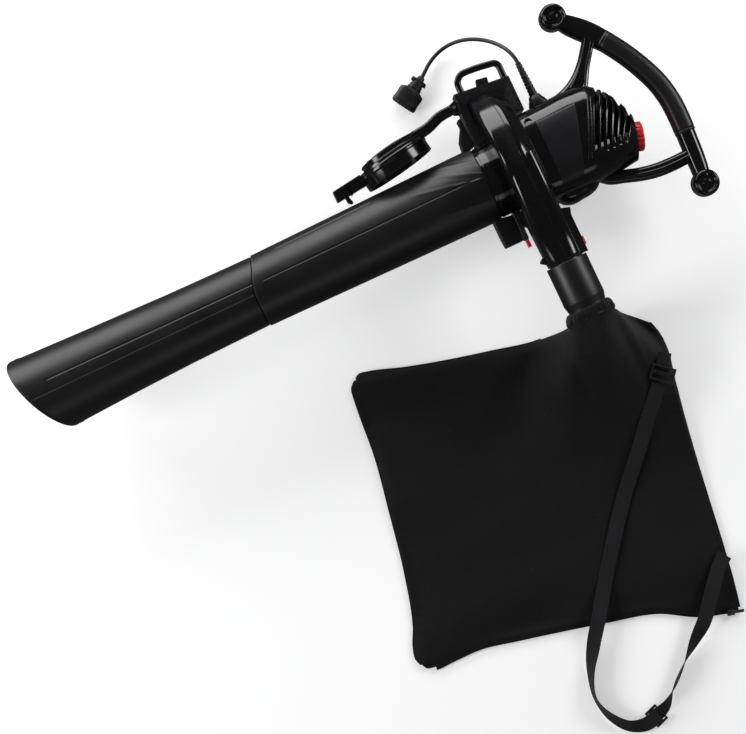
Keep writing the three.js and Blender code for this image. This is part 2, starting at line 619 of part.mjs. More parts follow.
add('impeller', impeller(), matteBlack);
add('impeller_nut', turned([[6.2, 9.6], [9.5, 9.6], [9.5, 15.6], [6.2, 15.6]], 6), steel);
add('motor_shaft', rod(5, [9, 0, 0], [186, 0, 0], 20), steel);
add('front_bearing', turned([[5.1, 64], [13, 64], [13, 73], [5.1, 73]], 24), steel);
add('rear_bearing', turned([[5.1, 177], [10, 177], [10, 184], [5.1, 184]], 24), steel);
add('armature', turned([[5.1, 99], [25, 99], [25, 143], [5.1, 143]], 32), iron);
add('commutator', turned([[5.1, 150], [12, 150], [12, 166], [5.1, 166]], 24), copper);

add('stator', turned([[26, 100], [42, 100], [42, 142], [26, 142]], 32), iron);

function motorFrame() {
  const bridge = joined([
    box(75, 80, -50, 50, -12, 12), box(75, 143, 44, 50, -12, 12), box(75, 143, -50, -44, -12, 12),
    rod(18, [62, 0, 0], [80, 0, 0]),
  ]);
  return bridge.subtract(rod(13.3, [63, 0, 0], [73.3, 0, 0])).subtract(rod(7, [50, 0, 0], [90, 0, 0]))
    .subtract(rod(13.3, [60, 0, 0], [64, 0, 0]));
}

add('motor_frame', motorFrame(), matteBlack);

for (const [name, side] of [['upper', 1], ['lower', -1]]) {
  const y0 = side > 0 ? 12.5 : -26.5;
  add(`carbon_brush_${name}`, box(154, 162, y0, y0 + 14, -3, 3), carbon);
  const tube = box(152.5, 163.5, y0 + side * 3.5, y0 + side * 3.5 + 14, -4.5, 4.5);
  add(`brush_holder_${name}`, tube.subtract(box(153.7, 162.3, y0 - 12, y0 + 26, -3.3, 3.3)), brass);
}

// ---- cord ----
const relief = { x: 104.6, base: 96, tip: 154 };

function cordGland() {
  const stations = [[105.5, 70, 16], [105.5, 82, 15.5], [105.3, 90, 11.5], [105, 95.6, 9]].map(([x, y, half]) => ({
    centre: new THREE.Vector3(x, y, 0),
    across: new THREE.Vector3(half, 0, 0),
    over: new THREE.Vector3(0, 0, Math.min(half, 13)),
    power: 2.6,
  }));
  return loft(stations, 20).subtract(motorHull(-GAP));
}

function strainRelief() {
  const count = 8;
  return loft(Array.from({ length: count + 1 }, (_, i) => {
    const share = i / count;
    const half = 7 - 2.2 * share;
    return {
      centre: new THREE.Vector3(105 - 0.8 * share, relief.base + (relief.tip - relief.base) * share, 0),
      across: new THREE.Vector3(half, 0, 0),
      over: new THREE.Vector3(0, 0, half),
    };
  }), 16);
}

add('cord_gland', cordGland(), rubber);
add('strain_relief', strainRelief(), rubber);

// the cord's centre line as [x, y, height above the floor]
const cordRoute = [
  [104.2, 154.6, 110], [103.4, 162, 109.6], [101.6, 171, 107.5], [98.4, 181, 102.5], [93.8, 191, 95],
  [87.6, 201.4, 84.5], [79.8, 211.6, 72], [70.6, 221, 58.5], [60, 229, 45], [48, 235.2, 32.5],
  [35, 238.8, 22.5], [21.5, 239.4, 15.8], [8, 237, 12.4], [-5, 232, 11.6], [-16.6, 225.4, 12.4],
  [-26.4, 218, 13.6], [-35, 211.2, 14],
];
const route = cordRoute.map(([x, y, height]) => new THREE.Vector3(x, y, FLOOR + height));
add('cord', swept(route, CORD_DIAMETER / 2, 10, 24), rubber);

// ---- plug, lying on the floor ----
const plugAt = { x: -35.2, y: 211, height: 14 };
const plugAlong = new THREE.Vector3(-0.86, -0.51, 0).normalize();
const plugAcross = new THREE.Vector3(0.51, -0.86, 0).normalize();

function plugStation(out, half, halfDepth, power = 2.6) {
  const centre = new THREE.Vector3(plugAt.x, plugAt.y, FLOOR + plugAt.height).addScaledVector(plugAlong, out);
  return { centre, across: plugAcross.clone().multiplyScalar(half), over: new THREE.Vector3(0, 0, halfDepth), power };
}

const plugRoom = [plugStation(33, 16.5, 9.6, 4), plugStation(62, 16.5, 9.6, 4)];
const plugOuter = [
  plugStation(0.3, 5, 5), plugStation(8, 8.5, 8), plugStation(20, 11.5, 9.5), plugStation(26, 12.5, 10),
  plugStation(30, 21.5, 13, 4), plugStation(52, 22, 13.2, 4), plugStation(57, 21, 12.4, 4),
];
add('plug', loft(plugOuter, 24).subtract(loft(plugRoom, 24)), rubber);
for (const [name, side] of [['a', 1], ['b', -1]]) {
  const blade = new THREE.BoxGeometry(18, 1.5, 6.4).translate(9.3, side * 6.3, 0);
  const turn = Math.atan2(plugAlong.y, plugAlong.x);
  const root = plugStation(33, 1, 1).centre;
  add(`plug_blade_${name}`, solidOf(blade.rotateZ(turn).translate(root.x, root.y, root.z)), brass);
}

// ---- bag tube, cuff and bag ----
function alongDuct(profile, around = 32) {
  const points = [...profile, profile[0]].map(([radius, y]) => new THREE.Vector2(radius, y));
  return solidOf(new THREE.LatheGeometry(points, around).translate(BAG_TUBE.x, 0, DUCT_Z));
}

const { outer: wide, narrow, bore, shoulder, end: tubeEnd } = BAG_TUBE;
const tubeTop = DUCT_END - GAP - 1;
add('bag_tube', alongDuct([
  [wide, tubeTop], [wide, shoulder], [narrow, shoulder - 11], [narrow, tubeEnd], [bore, tubeEnd], [bore, tubeTop],
]), matteBlack);

const bag = {
  topLeft: [-343, -192], topRight: [131, -326], bottomRight: [66, -806], bottomLeft: [-455, -676],
  neck: 0.775, edge: 6, swell: 10,
};

// the bag's plan position at u across and v down, each from 0 to 1
function bagPlan(u, v) {
  const mix = (a, b, t) => a + (b - a) * t;
  const top = [0, 1].map((k) => mix(bag.topLeft[k], bag.topRight[k], u));
  const bottom = [0, 1].map((k) => mix(bag.bottomLeft[k], bag.bottomRight[k], u));
  const x = mix(top[0], bottom[0], v);
  const y = mix(top[1], bottom[1], v);
  const shoulder = Math.exp(-(((u - bag.neck) / 0.13) ** 4));
  const pull = (1 - v) ** 6;
  return [x, y * (1 - shoulder * pull) + (-267 - 20 * (u - bag.neck)) * shoulder * pull];
}

// height of the bag's upper and lower cloth above the floor
function bagTop(u, v) {
  const body = bag.edge + bag.swell * Math.sqrt(Math.max(0, Math.sin(Math.PI * u) * Math.sin(Math.PI * v)));
  const ridge = Math.exp(-(((u - bag.neck) / (0.13 + 0.25 * v)) ** 2));
  return body + (215 - bag.edge) * ridge * Math.exp(-((v / 0.2) ** 1.35));
}

function bagBottom(u, v) {
  const ridge = Math.exp(-(((u - bag.neck) / 0.12) ** 2));
  return 0.4 + 140 * ridge * Math.exp(-((v / 0.09) ** 1.3));
}

function bagSolid(across = 15, down = 14) {
  const geometry = new THREE.BoxGeometry(1, 1, 1, across, down, 1);
  const position = geometry.getAttribute('position');
  for (let i = 0; i < position.count; i += 1) {
    const u = position.getX(i) + 0.5;
    const v = 0.5 - position.getY(i);
    const [x, y] = bagPlan(u, v);
    const height = position.getZ(i) > 0 ? bagTop(u, v) : bagBottom(u, v);
    position.setXYZ(i, x, y, FLOOR + height);
  }
  return solidOf(geometry);
}

const cuffRoom = alongDuct([[0, -200], [BAG_TUBE.outer + GAP, -200], [BAG_TUBE.outer + GAP, -300], [0, -300]]);
const cuffSolid = solidOf(new THREE.CylinderGeometry(1, 1, 1, 32)
  .scale(CUFF.outer, CUFF.start - CUFF.end, 39).translate(CUFF.x, (CUFF.start + CUFF.end) / 2, DUCT_Z));
add('bag_cuff', cuffSolid.subtract(cuffRoom).subtract(box(-200, 200, -300, CUFF.end + GAP, 0, 200)), cloth);
add('bag', bagSolid().subtract(box(-60, 120, CUFF.end - GAP, -200, -50, 150)), cloth);

// ---- zip along the bag's lower edge ----
const zipFrom = bagPlan(0.985, 1);
const zipTo = bagPlan(0.04, 1);
const zipAlong = new THREE.Vector3(zipTo[0] - zipFrom[0], zipTo[1] - zipFrom[1], 0).normalize();
const zipOut = new THREE.Vector3(zipAlong.y, -zipAlong.x, 0);
const zipLength = Math.hypot(zipTo[0] - zipFrom[0], zipTo[1] - zipFrom[1]);
if (zipOut.y > 0) zipOut.negate();

// a box given by how far it runs along the zip, out from the bag's edge, and above the floor
function zipBox(along0, along1, out0, out1, low, high) {
  const geometry = new THREE.BoxGeometry(along1 - along0, out1 - out0, high - low);
  geometry.translate((along0 + along1) / 2, (out0 + out1) / 2, 0);
  geometry.applyMatrix4(new THREE.Matrix4().makeBasis(zipAlong, zipOut, new THREE.Vector3(0, 0, 1)));
  return solidOf(geometry.translate(zipFrom[0], zipFrom[1], FLOOR + (low + high) / 2));
}

add('zip_tape', zipBox(0, zipLength, 0.6, 9, 3, 5.4), webbing);
add('zip_slider', joined([
  zipBox(2, 14, 1.4, 10.4, 5.8, 8), zipBox(2, 14, 1.4, 10.4, 0.6, 2.6), zipBox(2, 14, 9.4, 10.4, 1, 7),
]), iron);
add('zip_pull', zipBox(-14, 1.6, 3.5, 8.5, 5.8, 7.4), iron);

// ---- shoulder strap ----
// webbing along [x, y, height, twist] marks: height is of its middle, twist 0 lies flat, 1 stands on edge
function strapSolid(marks, steps, halfWidth = 12, thick = 1.8) {
  const curve = (points) => new THREE.CatmullRomCurve3(points, false, 'centripetal');
  const path = curve(marks.map(([x, y, z]) => new THREE.Vector3(x, y, FLOOR + z)));
  const twist = curve(marks.map((mark, i) => new THREE.Vector3(i, mark[3], 0)));
  const geometry = new THREE.BoxGeometry(1, 1, 1, steps, 1, 1);
  const position = geometry.getAttribute('position');
  for (let i = 0; i < position.count; i += 1) {
    const t = position.getX(i) + 0.5;
    const centre = path.getPoint(t);
    const along = path.getTangent(t);
    const level = new THREE.Vector3(0, 0, 1).cross(along).normalize();
    const up = along.clone().cross(level);
    const angle = (twist.getPoint(t).y * Math.PI) / 2;
    const wide = level.clone().multiplyScalar(Math.cos(angle)).addScaledVector(up, Math.sin(angle));
    const flat = wide.clone().cross(along);
    centre.addScaledVector(wide, position.getY(i) * 2 * halfWidth).addScaledVector(flat, position.getZ(i) * thick);
    position.setXYZ(i, centre.x, centre.y, centre.z);
  }
  return solidOf(geometry);
}

// the highest cloth within reach of a place on the bag
function bagHeightAt(x, y, reach = 16) {
  let height = 0;
  for (let i = 0; i <= 60; i += 1) {
    for (let j = 0; j <= 60; j += 1) {
      const [px, py] = bagPlan(i / 60, j / 60);
      if (Math.hypot(px - x, py - y) < reach) height = Math.max(height, bagTop(i / 60, j / 60));
    }
  }
  return height;
}

const STRAP_LIFT = 3;
const onBag = (x, y, lift = STRAP_LIFT) => [x, y, bagHeightAt(x, y) + lift, 0];
const longRun = [
  onBag(96, -412), onBag(60, -452), onBag(20, -500), onBag(-30, -558), onBag(-80, -620), onBag(-125, -680),
  [-152, -717, 24, 0], [-180, -757, 16, 0.3], [-204, -798, 13, 0.75], [-215, -840, 12.4, 0.9],
  [-203, -880, 12, 0.6], [-181, -906, 9, 0.35], [-157, -914.5, 6, 0.1],
];
add('shoulder_strap', strapSolid(longRun, 44), webbing);
const shortRun = [
  [-118, -902, 9, 0.35], [-92, -880, 12.5, 0.9], [-60, -852, 12.6, 0.9], [-26, -822, 16, 0.4],
  [2, -797, 24, 0], [26, -768, 26, 0], [48, -742, 24, 0], [66, -724, 21, 0],
];
const lowerAnchor = new THREE.BoxGeometry(22, 26, 2.6).rotateZ(0.66).translate(71, -719.5, FLOOR + 20.6);
add('strap_tail', joined([strapSolid(shortRun, 26), solidOf(lowerAnchor)]), webbing);

function ladderLock(x, y, height, angle, length, width) {
  const shape = new THREE.BoxGeometry(length, width, 4);
  const hole = new THREE.BoxGeometry(length * 0.26, width - 8, 8);
  const frame = solidOf(shape)
    .subtract(solidOf(hole.clone().translate(length * 0.24, 0, 0)))
    .subtract(solidOf(hole.clone().translate(-length * 0.24, 0, 0)));
  const matrix = new THREE.Matrix4().makeRotationZ(angle).setPosition(x, y, FLOOR + height);
  return solidOf(geometryOf(frame).applyMatrix4(matrix));
}

const buckleHeight = bagHeightAt(100, -398, 24) + 3.5;
add('strap_buckle', ladderLock(108.5, -398.5, buckleHeight, 0.86, 26, 40), matteBlack);
add('strap_adjuster', ladderLock(-135.5, -909.5, 6, 0.34, 24, 32), matteBlack);
const anchor = new THREE.BoxGeometry(30, 24, 1.8).rotateZ(0.95).translate(122, -375, FLOOR + buckleHeight - 1);
add('strap_anchor_upper', solidOf(anchor).subtract(solidOf(new THREE.BoxGeometry(27, 41, 6).rotateZ(0.86)
  .translate(108.5, -398.5, FLOOR + buckleHeight))), webbing);

export default blower;
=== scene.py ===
"""A corded garden blower set up as a vacuum, lying on its side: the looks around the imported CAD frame.

Shapes are worked out in blower coordinates, in millimetres: X along the fan axis from the scroll's front
face towards the motor, Y towards the carry loop, Z up, zero on the fan axis. placed() turns them into the
frame's metres. Cord and strap heights are above the floor.
"""
import json
import math

import bmesh
import bpy
import numpy as np
from mathutils import Matrix, Vector

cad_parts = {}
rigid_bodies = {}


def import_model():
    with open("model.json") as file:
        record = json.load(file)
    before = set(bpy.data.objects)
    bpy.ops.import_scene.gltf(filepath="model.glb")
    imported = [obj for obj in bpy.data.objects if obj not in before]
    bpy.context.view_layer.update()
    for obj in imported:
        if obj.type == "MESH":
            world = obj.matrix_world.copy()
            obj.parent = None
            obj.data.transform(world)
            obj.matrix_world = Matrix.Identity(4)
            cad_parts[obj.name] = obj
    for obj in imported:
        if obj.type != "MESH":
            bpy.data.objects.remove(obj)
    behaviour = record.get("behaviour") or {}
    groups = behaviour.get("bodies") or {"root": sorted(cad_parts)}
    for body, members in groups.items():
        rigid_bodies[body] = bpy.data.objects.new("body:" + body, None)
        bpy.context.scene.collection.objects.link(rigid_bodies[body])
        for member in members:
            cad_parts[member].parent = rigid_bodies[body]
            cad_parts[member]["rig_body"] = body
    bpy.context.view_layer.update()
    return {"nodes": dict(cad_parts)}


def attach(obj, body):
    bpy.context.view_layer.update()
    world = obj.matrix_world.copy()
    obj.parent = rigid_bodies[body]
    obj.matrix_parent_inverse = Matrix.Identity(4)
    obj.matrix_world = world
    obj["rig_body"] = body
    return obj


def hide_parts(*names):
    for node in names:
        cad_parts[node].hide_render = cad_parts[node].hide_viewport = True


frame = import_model()
NODES = frame["nodes"]

ORIGIN = np.array([-15.0, -12.0, 110.0])  # the fan axis, seen from the middle of the resting land
FLOOR = -110.0
SPIRAL = {"y": 12, "start": 103, "growth": 8, "close": 24}
MOUTH = {"x": -808, "slant_y": 0.36, "slant_z": 0.26, "from": -640}
BAG_TUBE_X, DUCT_Z, DUCT_END = 29.7, 76, -166
HINGE = (-20, 131)
COVER = {"x": -141.5, "y": 95.5, "tilt": 0.168}
DIAL = {"x": 221, "y": -33, "tilt": 0.273, "radius": 24}


# ---- camera ----
def make_camera():
    """Straight above, turned so that the suction tube runs down to the lower left."""
    data = bpy.data.cameras.new("camera")
    data.lens, data.sensor_width = 90.5, 36
    camera = bpy.data.objects.new("camera", data)
    camera.location = (-0.328, -0.199, 3.11)
    camera.rotation_euler = (0, 0, math.radians(-25.3))
    bpy.context.scene.collection.objects.link(camera)
    bpy.context.scene.camera = camera


# ---- numpy shapes ----
def placed(points):
    """Blower millimetres as the frame's metres."""
    return (np.asarray(points, float) + ORIGIN) / 1000


def unit(vectors):
    """Vectors divided by their lengths."""
    vectors = np.asarray(vectors, float)
    return vectors / np.linalg.norm(vectors, axis=-1, keepdims=True)


def smoothstep(low, high, value):
    """0 below low, 1 above high, and 3t^2 - 2t^3 between them."""
    t = np.clip((np.asarray(value, float) - low) / (high - low), 0, 1)
    return t * t * (3 - 2 * t)


def spread(start, end, step, around, reach, fine):
    """Values from start to end every step, and every fine step within reach of each value in around."""
    values = [np.linspace(start, end, max(2, int(abs(end - start) / step) + 1))]
    values += [np.arange(max(start, c - reach), min(end, c + reach), fine) for c in around]
    return np.unique(np.round(np.concatenate(values), 4))


def through(marks, count, columns=3):
    """A smooth curve through rows of marks, evenly spaced by chord length: cubic Hermite pieces
    whose slopes are the second-order differences of the marks."""
    marks = np.asarray(marks, float)
    steps = np.linalg.norm(np.diff(marks[:, :columns], axis=0), axis=1)
    s = np.concatenate([[0], np.cumsum(steps)])
    slope = np.gradient(marks, s, axis=0)
    at = np.linspace(0, s[-1], count)
    k = np.clip(np.searchsorted(s, at, side="right") - 1, 0, len(s) - 2)
    h = (s[k + 1] - s[k])[:, None]
    t = (at - s[k])[:, None] / h
    a, b = 2 * t**3 - 3 * t**2 + 1, t**3 - 2 * t**2 + t
    c, d = 3 * t**2 - 2 * t**3, t**3 - t**2
    return a * marks[k] + b * h * slope[k] + c * marks[k + 1] + d * h * slope[k + 1]


def rounded(points, radius, steps, closed=True):
    """A polyline with each corner replaced by the curve (1-t)^2 A + 2t(1-t) C + t^2 B between the points
    A and B that lie radius from corner C along its two sides, or under half a side where that is short."""
    points = np.asarray(points, float)
    before, after = np.roll(points, 1, 0), np.roll(points, -1, 0)
    to_before, to_after = before - points, after - points
    length_before = np.linalg.norm(to_before, axis=1, keepdims=True)
    length_after = np.linalg.norm(to_after, axis=1, keepdims=True)
    radius = np.broadcast_to(np.asarray(radius, float), len(points))[:, None]
    a = points + to_before / length_before * np.minimum(radius, 0.46 * length_before)
    b = points + to_after / length_after * np.minimum(radius, 0.46 * length_after)
    t = np.linspace(0, 1, steps + 1)[None, :, None]
    curve = (1 - t) ** 2 * a[:, None] + 2 * t * (1 - t) * points[:, None] + t**2 * b[:, None]
    curve = curve.reshape(-1, points.shape[1])
    if closed:
        return curve
    return np.concatenate([points[:1], curve[steps + 1:-(steps + 1)], points[-1:]])


def grid(points, wrap_rows=False, wrap_columns=False, uv=None):
    """A patch of quads over a grid of points: row i joins row i+1 and column j joins column j+1."""
    rows, columns = points.shape[:2]
    i, j = np.meshgrid(np.arange(rows if wrap_rows else rows - 1),
                       np.arange(columns if wrap_columns else columns - 1), indexing="ij")
    k, l = (i + 1) % rows, (j + 1) % columns
    quads = np.stack([i * columns + j, k * columns + j, k * columns + l, i * columns + l], -1)
    corners = None
    if uv is not None:
        corners = np.asarray(uv, float).reshape(-1, 2)[quads.reshape(-1, 4)].reshape(-1, 2)
    return points.reshape(-1, 3), quads.reshape(-1, 4), corners


def capped(points):
    """The same grid with a row at each end where every point is that end's middle."""
    ends = [np.broadcast_to(row.mean(0), row.shape)[None] for row in (points[0], points[-1])]
    return np.concatenate([ends[0], points, ends[1]])


def ring(around, power):
    """cos and sin of even angles, each divided by (|cos|^power + |sin|^power)^(1/power)."""
    angle = np.linspace(0, 2 * np.pi, around, endpoint=False) + 1e-9
    c, s = np.cos(angle)[None], np.sin(angle)[None]
    power = np.atleast_1d(np.asarray(power, float))[:, None]
    scale = (np.abs(c) ** power + np.abs(s) ** power) ** (-1 / power)
    return c * scale, s * scale


def loft(centres, across, over, power, around):
    """A closed tube: centre + across * c + over * s at each station, c and s going round a superellipse."""
    c, s = ring(around, power)
    centres, across, over = (np.asarray(v, float)[:, None] for v in (centres, across, over))
    return grid(capped(centres + across * c[..., None] + over * s[..., None]), wrap_columns=True)


def bar(marks, half_depth, power, around, count, clip=None):
    """A bar along a smooth curve in the XY plane through [x, y, half width] marks: at each point a
    superellipse of that half width across and half_depth up. clip keeps the part above or below a height."""
    path = through(marks, count, 2)
    along = unit(np.gradient(path[:, :2], axis=0))
    across = np.stack([along[:, 1], -along[:, 0], 0 * along[:, 0]], -1) * path[:, 2:3]
    centres = np.stack([path[:, 0], path[:, 1], np.zeros(count)], -1)
    depth = np.broadcast_to(np.asarray(half_depth, float), count)
    over = np.stack([0 * depth, 0 * depth, depth], -1)
    points, quads, uv = loft(centres, across, over, power, around)
    return clipped(points, clip), quads, uv


def clipped(points, clip):
    """Points pushed flat against a parting plane: clip is None, or an axis, a side and the plane's place."""
    if clip is None:
        return points
    axis, side, place = clip
    points = points.copy()
    points[:, axis] = np.maximum(points[:, axis], place) if side > 0 else np.minimum(points[:, axis], place)
    return points


def lathe(profile, around, at=(0, 0, 0), along=(1, 0, 0), closed=True):
    """A [radius, distance] profile turned about an axis: at + distance * along + radius * (cos, sin)."""
    profile = np.asarray(profile, float)
    along = unit(along)
    side = unit(np.cross([0, 0, 1] if abs(along[2]) < 0.9 else [1, 0, 0], along))
    other = np.cross(along, side)
    angle = np.linspace(0, 2 * np.pi, around, endpoint=False)
    out = np.cos(angle)[:, None] * side + np.sin(angle)[:, None] * other
    points = np.asarray(at, float) + profile[:, 1, None, None] * along + profile[:, 0, None, None] * out
    return grid(points, wrap_rows=closed, wrap_columns=True)


def rod(radius, start, end, edge, around=32):
    """A round bar between two points with its end edges rounded over."""
    start, end = np.asarray(start, float), np.asarray(end, float)
    length = np.linalg.norm(end - start)
    profile = rounded([[0, 0], [radius, 0], [radius, length], [0, length]], edge, 3, closed=False)
    return lathe(profile, around, start, end - start, closed=False)


def tube(path, radius, around=20):
    """A round tube: path point + radius * (cos * level + sin * up), up square to the path and level."""
    path = np.asarray(path, float)
    along = unit(np.gradient(path, axis=0))
    level = unit(np.cross([0, 0, 1], along))
    up = np.cross(along, level)
    radius = np.broadcast_to(np.asarray(radius, float), len(path))[:, None]
    return loft(path, level * radius, up * radius, 2.0, around)


def slab(outline, low, high, edge, corner=2.0):
    """A flat plate with rounded corners and rims, for an outline seen whole from its middle: each rim
    draws the outline in by edge * (1 - sin t) while it rises by edge * (1 - cos t)."""
    rim = rounded(outline, corner, 4)
    chord = np.roll(rim, -1, 0) - np.roll(rim, 1, 0)
    area = np.sum(rim[:, 0] * np.roll(rim[:, 1], -1) - rim[:, 1] * np.roll(rim[:, 0], -1))
    normal = unit(np.stack([chord[:, 1], -chord[:, 0]], -1)) * np.sign(area)
    t = np.linspace(0, np.pi / 2, 4)
    inset = edge * np.concatenate([1 - np.sin(t), (1 - np.sin(t))[::-1]])
    height = np.concatenate([low + edge * (1 - np.cos(t)), high - edge * (1 - np.cos(t))[::-1]])
    rows = rim[None] - inset[:, None, None] * normal[None]
    height = np.broadcast_to(height[:, None, None], rows.shape[:2] + (1,))
    return grid(capped(np.concatenate([rows, height], -1)), wrap_columns=True)


# ---- putting pieces together ----
def mesh_of(name, patches):
    """One mesh from patches of quads in blower millimetres, welded, with its faces turned outwards."""
    points, quads, corners, base = [], [], [], 0
    for patch_points, patch_quads, uv in patches:
        points.append(placed(patch_points))
        quads.append(patch_quads + base)
        corners.append(np.zeros((patch_quads.size, 2)) if uv is None else uv)
        base += len(patch_points)
    mesh = bpy.data.meshes.new(name)
    mesh.from_pydata(np.concatenate(points).tolist(), [], np.concatenate(quads).tolist())
    if any(uv is not None for _, _, uv in patches):
        layer = mesh.uv_layers.new(name="run")
        layer.data.foreach_set("uv", np.concatenate(corners).astype(np.float32).ravel())
    welded(mesh)
    return mesh


def welded(mesh, flat=0.0):
    """Joins points that coincide, joins faces flatter than the given angle, and turns all faces outwards."""
    build = bmesh.new()
    build.from_mesh(mesh)
    bmesh.ops.remove_doubles(build, verts=build.verts, dist=2e-6)
    bmesh.ops.dissolve_degenerate(build, edges=build.edges, dist=1e-7)
    if flat:
        bmesh.ops.dissolve_limit(build, angle_limit=flat, verts=build.verts, edges=build.edges)
    bmesh.ops.recalc_face_normals(build, faces=build.faces)
    build.to_mesh(mesh)
    build.free()


def show(name, mesh, slot, nodes, sharp, edge=0.0):
    """A finished piece: smooth between faces closer than sharp degrees, its sharper edges rounded over by
    edge millimetres, riding with the CAD nodes that it stands for."""
    mesh.polygons.foreach_set("use_smooth", np.ones(len(mesh.polygons), bool))
    mesh.set_sharp_from_angle(angle=math.radians(sharp))
    mesh.materials.clear()
    mesh.materials.append(MATERIALS[slot])
    obj = bpy.data.objects.new(name, mesh)
    bpy.context.scene.collection.objects.link(obj)
    if edge:
        bevel = obj.modifiers.new("rounded edges", "BEVEL")
        bevel.width, bevel.segments, bevel.limit_method = edge / 1000, 2, "ANGLE"
        bevel.angle_limit, bevel.harden_normals = math.radians(30), True
        bevel.use_clamp_overlap = True
    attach(obj, NODES[nodes[0]]["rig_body"])
    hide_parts(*nodes)
    return obj


def piece(name, patches, slot, *nodes, sharp=38.0, edge=0.0):
    """A piece from patches of quads."""
    return show(name, mesh_of(name, patches), slot, nodes, sharp, edge)


def refined(name, node, slot, edge):
    """A copy of a CAD node's solid with its flat faces joined up and its edges rounded over."""
    mesh = NODES[node].data.copy()
    mesh.name = name
    welded(mesh, math.radians(2))
    return show(name, mesh, slot, (node,), 30.0, edge)


# ---- materials ----
def srgb(code):
    """A hex colour as linear light."""
    value = np.array([int(code[i:i + 2], 16) for i in (1, 3, 5)]) / 255
    linear = np.where(value <= 0.04045, value / 12.92, ((value + 0.055) / 1.055) ** 2.4)
    return (*linear.tolist(), 1.0)


def add(tree, kind, inputs=(), **properties):
    """One node of that kind: its properties, then its sockets, each a value or another node's output."""
    made = tree.nodes.new("ShaderNode" + kind)
    for name, value in properties.items():
        setattr(made, name, value)
    for name, value in dict(inputs).items():
        if isinstance(value, bpy.types.NodeSocket):
            tree.links.new(value, made.inputs[name])
        else:
            made.inputs[name].default_value = value
    return made.outputs[0] if made.outputs else made


def started(name):
    """A new node material: its tree, its shader and its Object coordinates."""
    material = bpy.data.materials.new(name)
    material.use_nodes = True
    tree = material.node_tree
    coordinates = tree.nodes.new("ShaderNodeTexCoord").outputs["Object"]
    return material, tree, tree.nodes["Principled BSDF"], coordinates


def noise(tree, where, millimetres, detail=3.0):
    """Noise whose blobs are about that many millimetres across."""
    return add(tree, "TexNoise", {"Vector": where, "Scale": 1000 / millimetres, "Detail": detail,
                                  "Roughness": 0.55})


def ranged(tree, value, low, high, to_low, to_high):
    """A value stretched from one range to another, held at its ends."""
    return add(tree, "MapRange", {"Value": value, "From Min": low, "From Max": high, "To Min": to_low,
                                  "To Max": to_high})


def mixed(tree, share, first, second):
    """A colour part of the way from the first to the second."""
    made = tree.nodes.new("ShaderNodeMix")
    made.data_type = "RGBA"
    for socket, value in ((made.inputs[0], share), (made.inputs[6], first), (made.inputs[7], second)):
        if isinstance(value, bpy.types.NodeSocket):
            tree.links.new(value, socket)
        else:
            socket.default_value = value
    return made.outputs[2]


def maths(tree, operation, first, second):
    """One sum on two values."""
    return add(tree, "Math", {0: first, 1: second}, operation=operation)


def bumped(tree, shader, height, millimetres):
    """The shader's normal tilted by a height of that many millimetres."""
    bump = add(tree, "Bump", {"Height": height, "Distance": millimetres / 1000, "Strength": 1.0})
    tree.links.new(bump, shader.inputs["Normal"])


def edges(tree):
    """1 on worn outer edges, 0 on flats and hollows."""
    geometry = tree.nodes.new("ShaderNodeNewGeometry")
    return ranged(tree, geometry.outputs["Pointiness"], 0.53, 0.6, 0.0, 1.0)


def moulded(name, dark, light, rough, grain, depth, cloud, dust, specular=0.5):
    """Injection-moulded plastic: slow cloudiness in colour and gloss from the melt's flow, an even
    texture of the given grain from the tool, faint dust specks, and paler, duller edges from handling."""
    material, tree, shader, where = started(name)
    flow = noise(tree, where, cloud, 4.0)
    specks = ranged(tree, noise(tree, where, 1.7, 1.0), 0.68, 0.78, 0.0, dust)
    worn = maths(tree, "MULTIPLY", edges(tree), noise(tree, where, 6.0))
    colour = mixed(tree, ranged(tree, flow, 0.3, 0.7, 0.0, 1.0), srgb(dark), srgb(light))
    colour = mixed(tree, maths(tree, "MULTIPLY", worn, 0.22), colour, srgb("#6e6e70"))
    colour = mixed(tree, specks, colour, srgb("#a9a7a2"))
    tree.links.new(colour, shader.inputs["Base Color"])
    gloss = maths(tree, "ADD", ranged(tree, flow, 0.3, 0.7, rough[0], rough[1]),
                  maths(tree, "MULTIPLY", worn, 0.18))
    gloss = maths(tree, "ADD", gloss, maths(tree, "MULTIPLY", specks, 0.5))
    tree.links.new(gloss, shader.inputs["Roughness"])
    shader.inputs["Specular IOR Level"].default_value = specular
    bumped(tree, shader, noise(tree, where, grain, 2.0), depth)
    return material


def gloss_black():
    """High-gloss black ABS from a polished mould: almost a mirror, with the long soft ripple that the
    cooling skin leaves, so that highlights run a little unevenly."""
    return moulded("gloss_moulded_abs_black", "#060607", "#0a0a0c", (0.09, 0.17), 9.0, 0.035, 60, 0.05)


def matte_black():
    """Spark-textured black polypropylene: a fine even tooth that spreads highlights into a grey sheen."""
    return moulded("spark_textured_polypropylene_black", "#0c0c0d", "#111113", (0.36, 0.43), 0.7, 0.05, 70,
                   0.04, 0.4)


def panel_grey():
    """Eroded dark grey ABS inlay: flat and dry next to the gloss around it."""
    return moulded("eroded_abs_dark_grey", "#131316", "#18181b", (0.4, 0.46), 0.6, 0.06, 30, 0.03, 0.35)


def red_plastic():
    """Solid red ABS of the buttons and the dial, semi-gloss, a little darker where the flow slowed."""
    return moulded("moulded_abs_red", "#c3161b", "#d8262a", (0.25, 0.34), 2.5, 0.03, 18, 0.03)


def rubber_black():
    """Soft PVC of the cord, its sleeve and the plug: dull, with a waxy bloom in patches."""
    return moulded("soft_pvc_black", "#0a0a0b", "#121213", (0.36, 0.5), 1.4, 0.04, 14, 0.06, 0.4)


def carbon():
    """Pressed carbon of the brushes: dark, granular, faintly metallic grey."""
    return moulded("pressed_carbon", "#1c1c1e", "#303033", (0.55, 0.7), 0.5, 0.06, 5, 0.08)


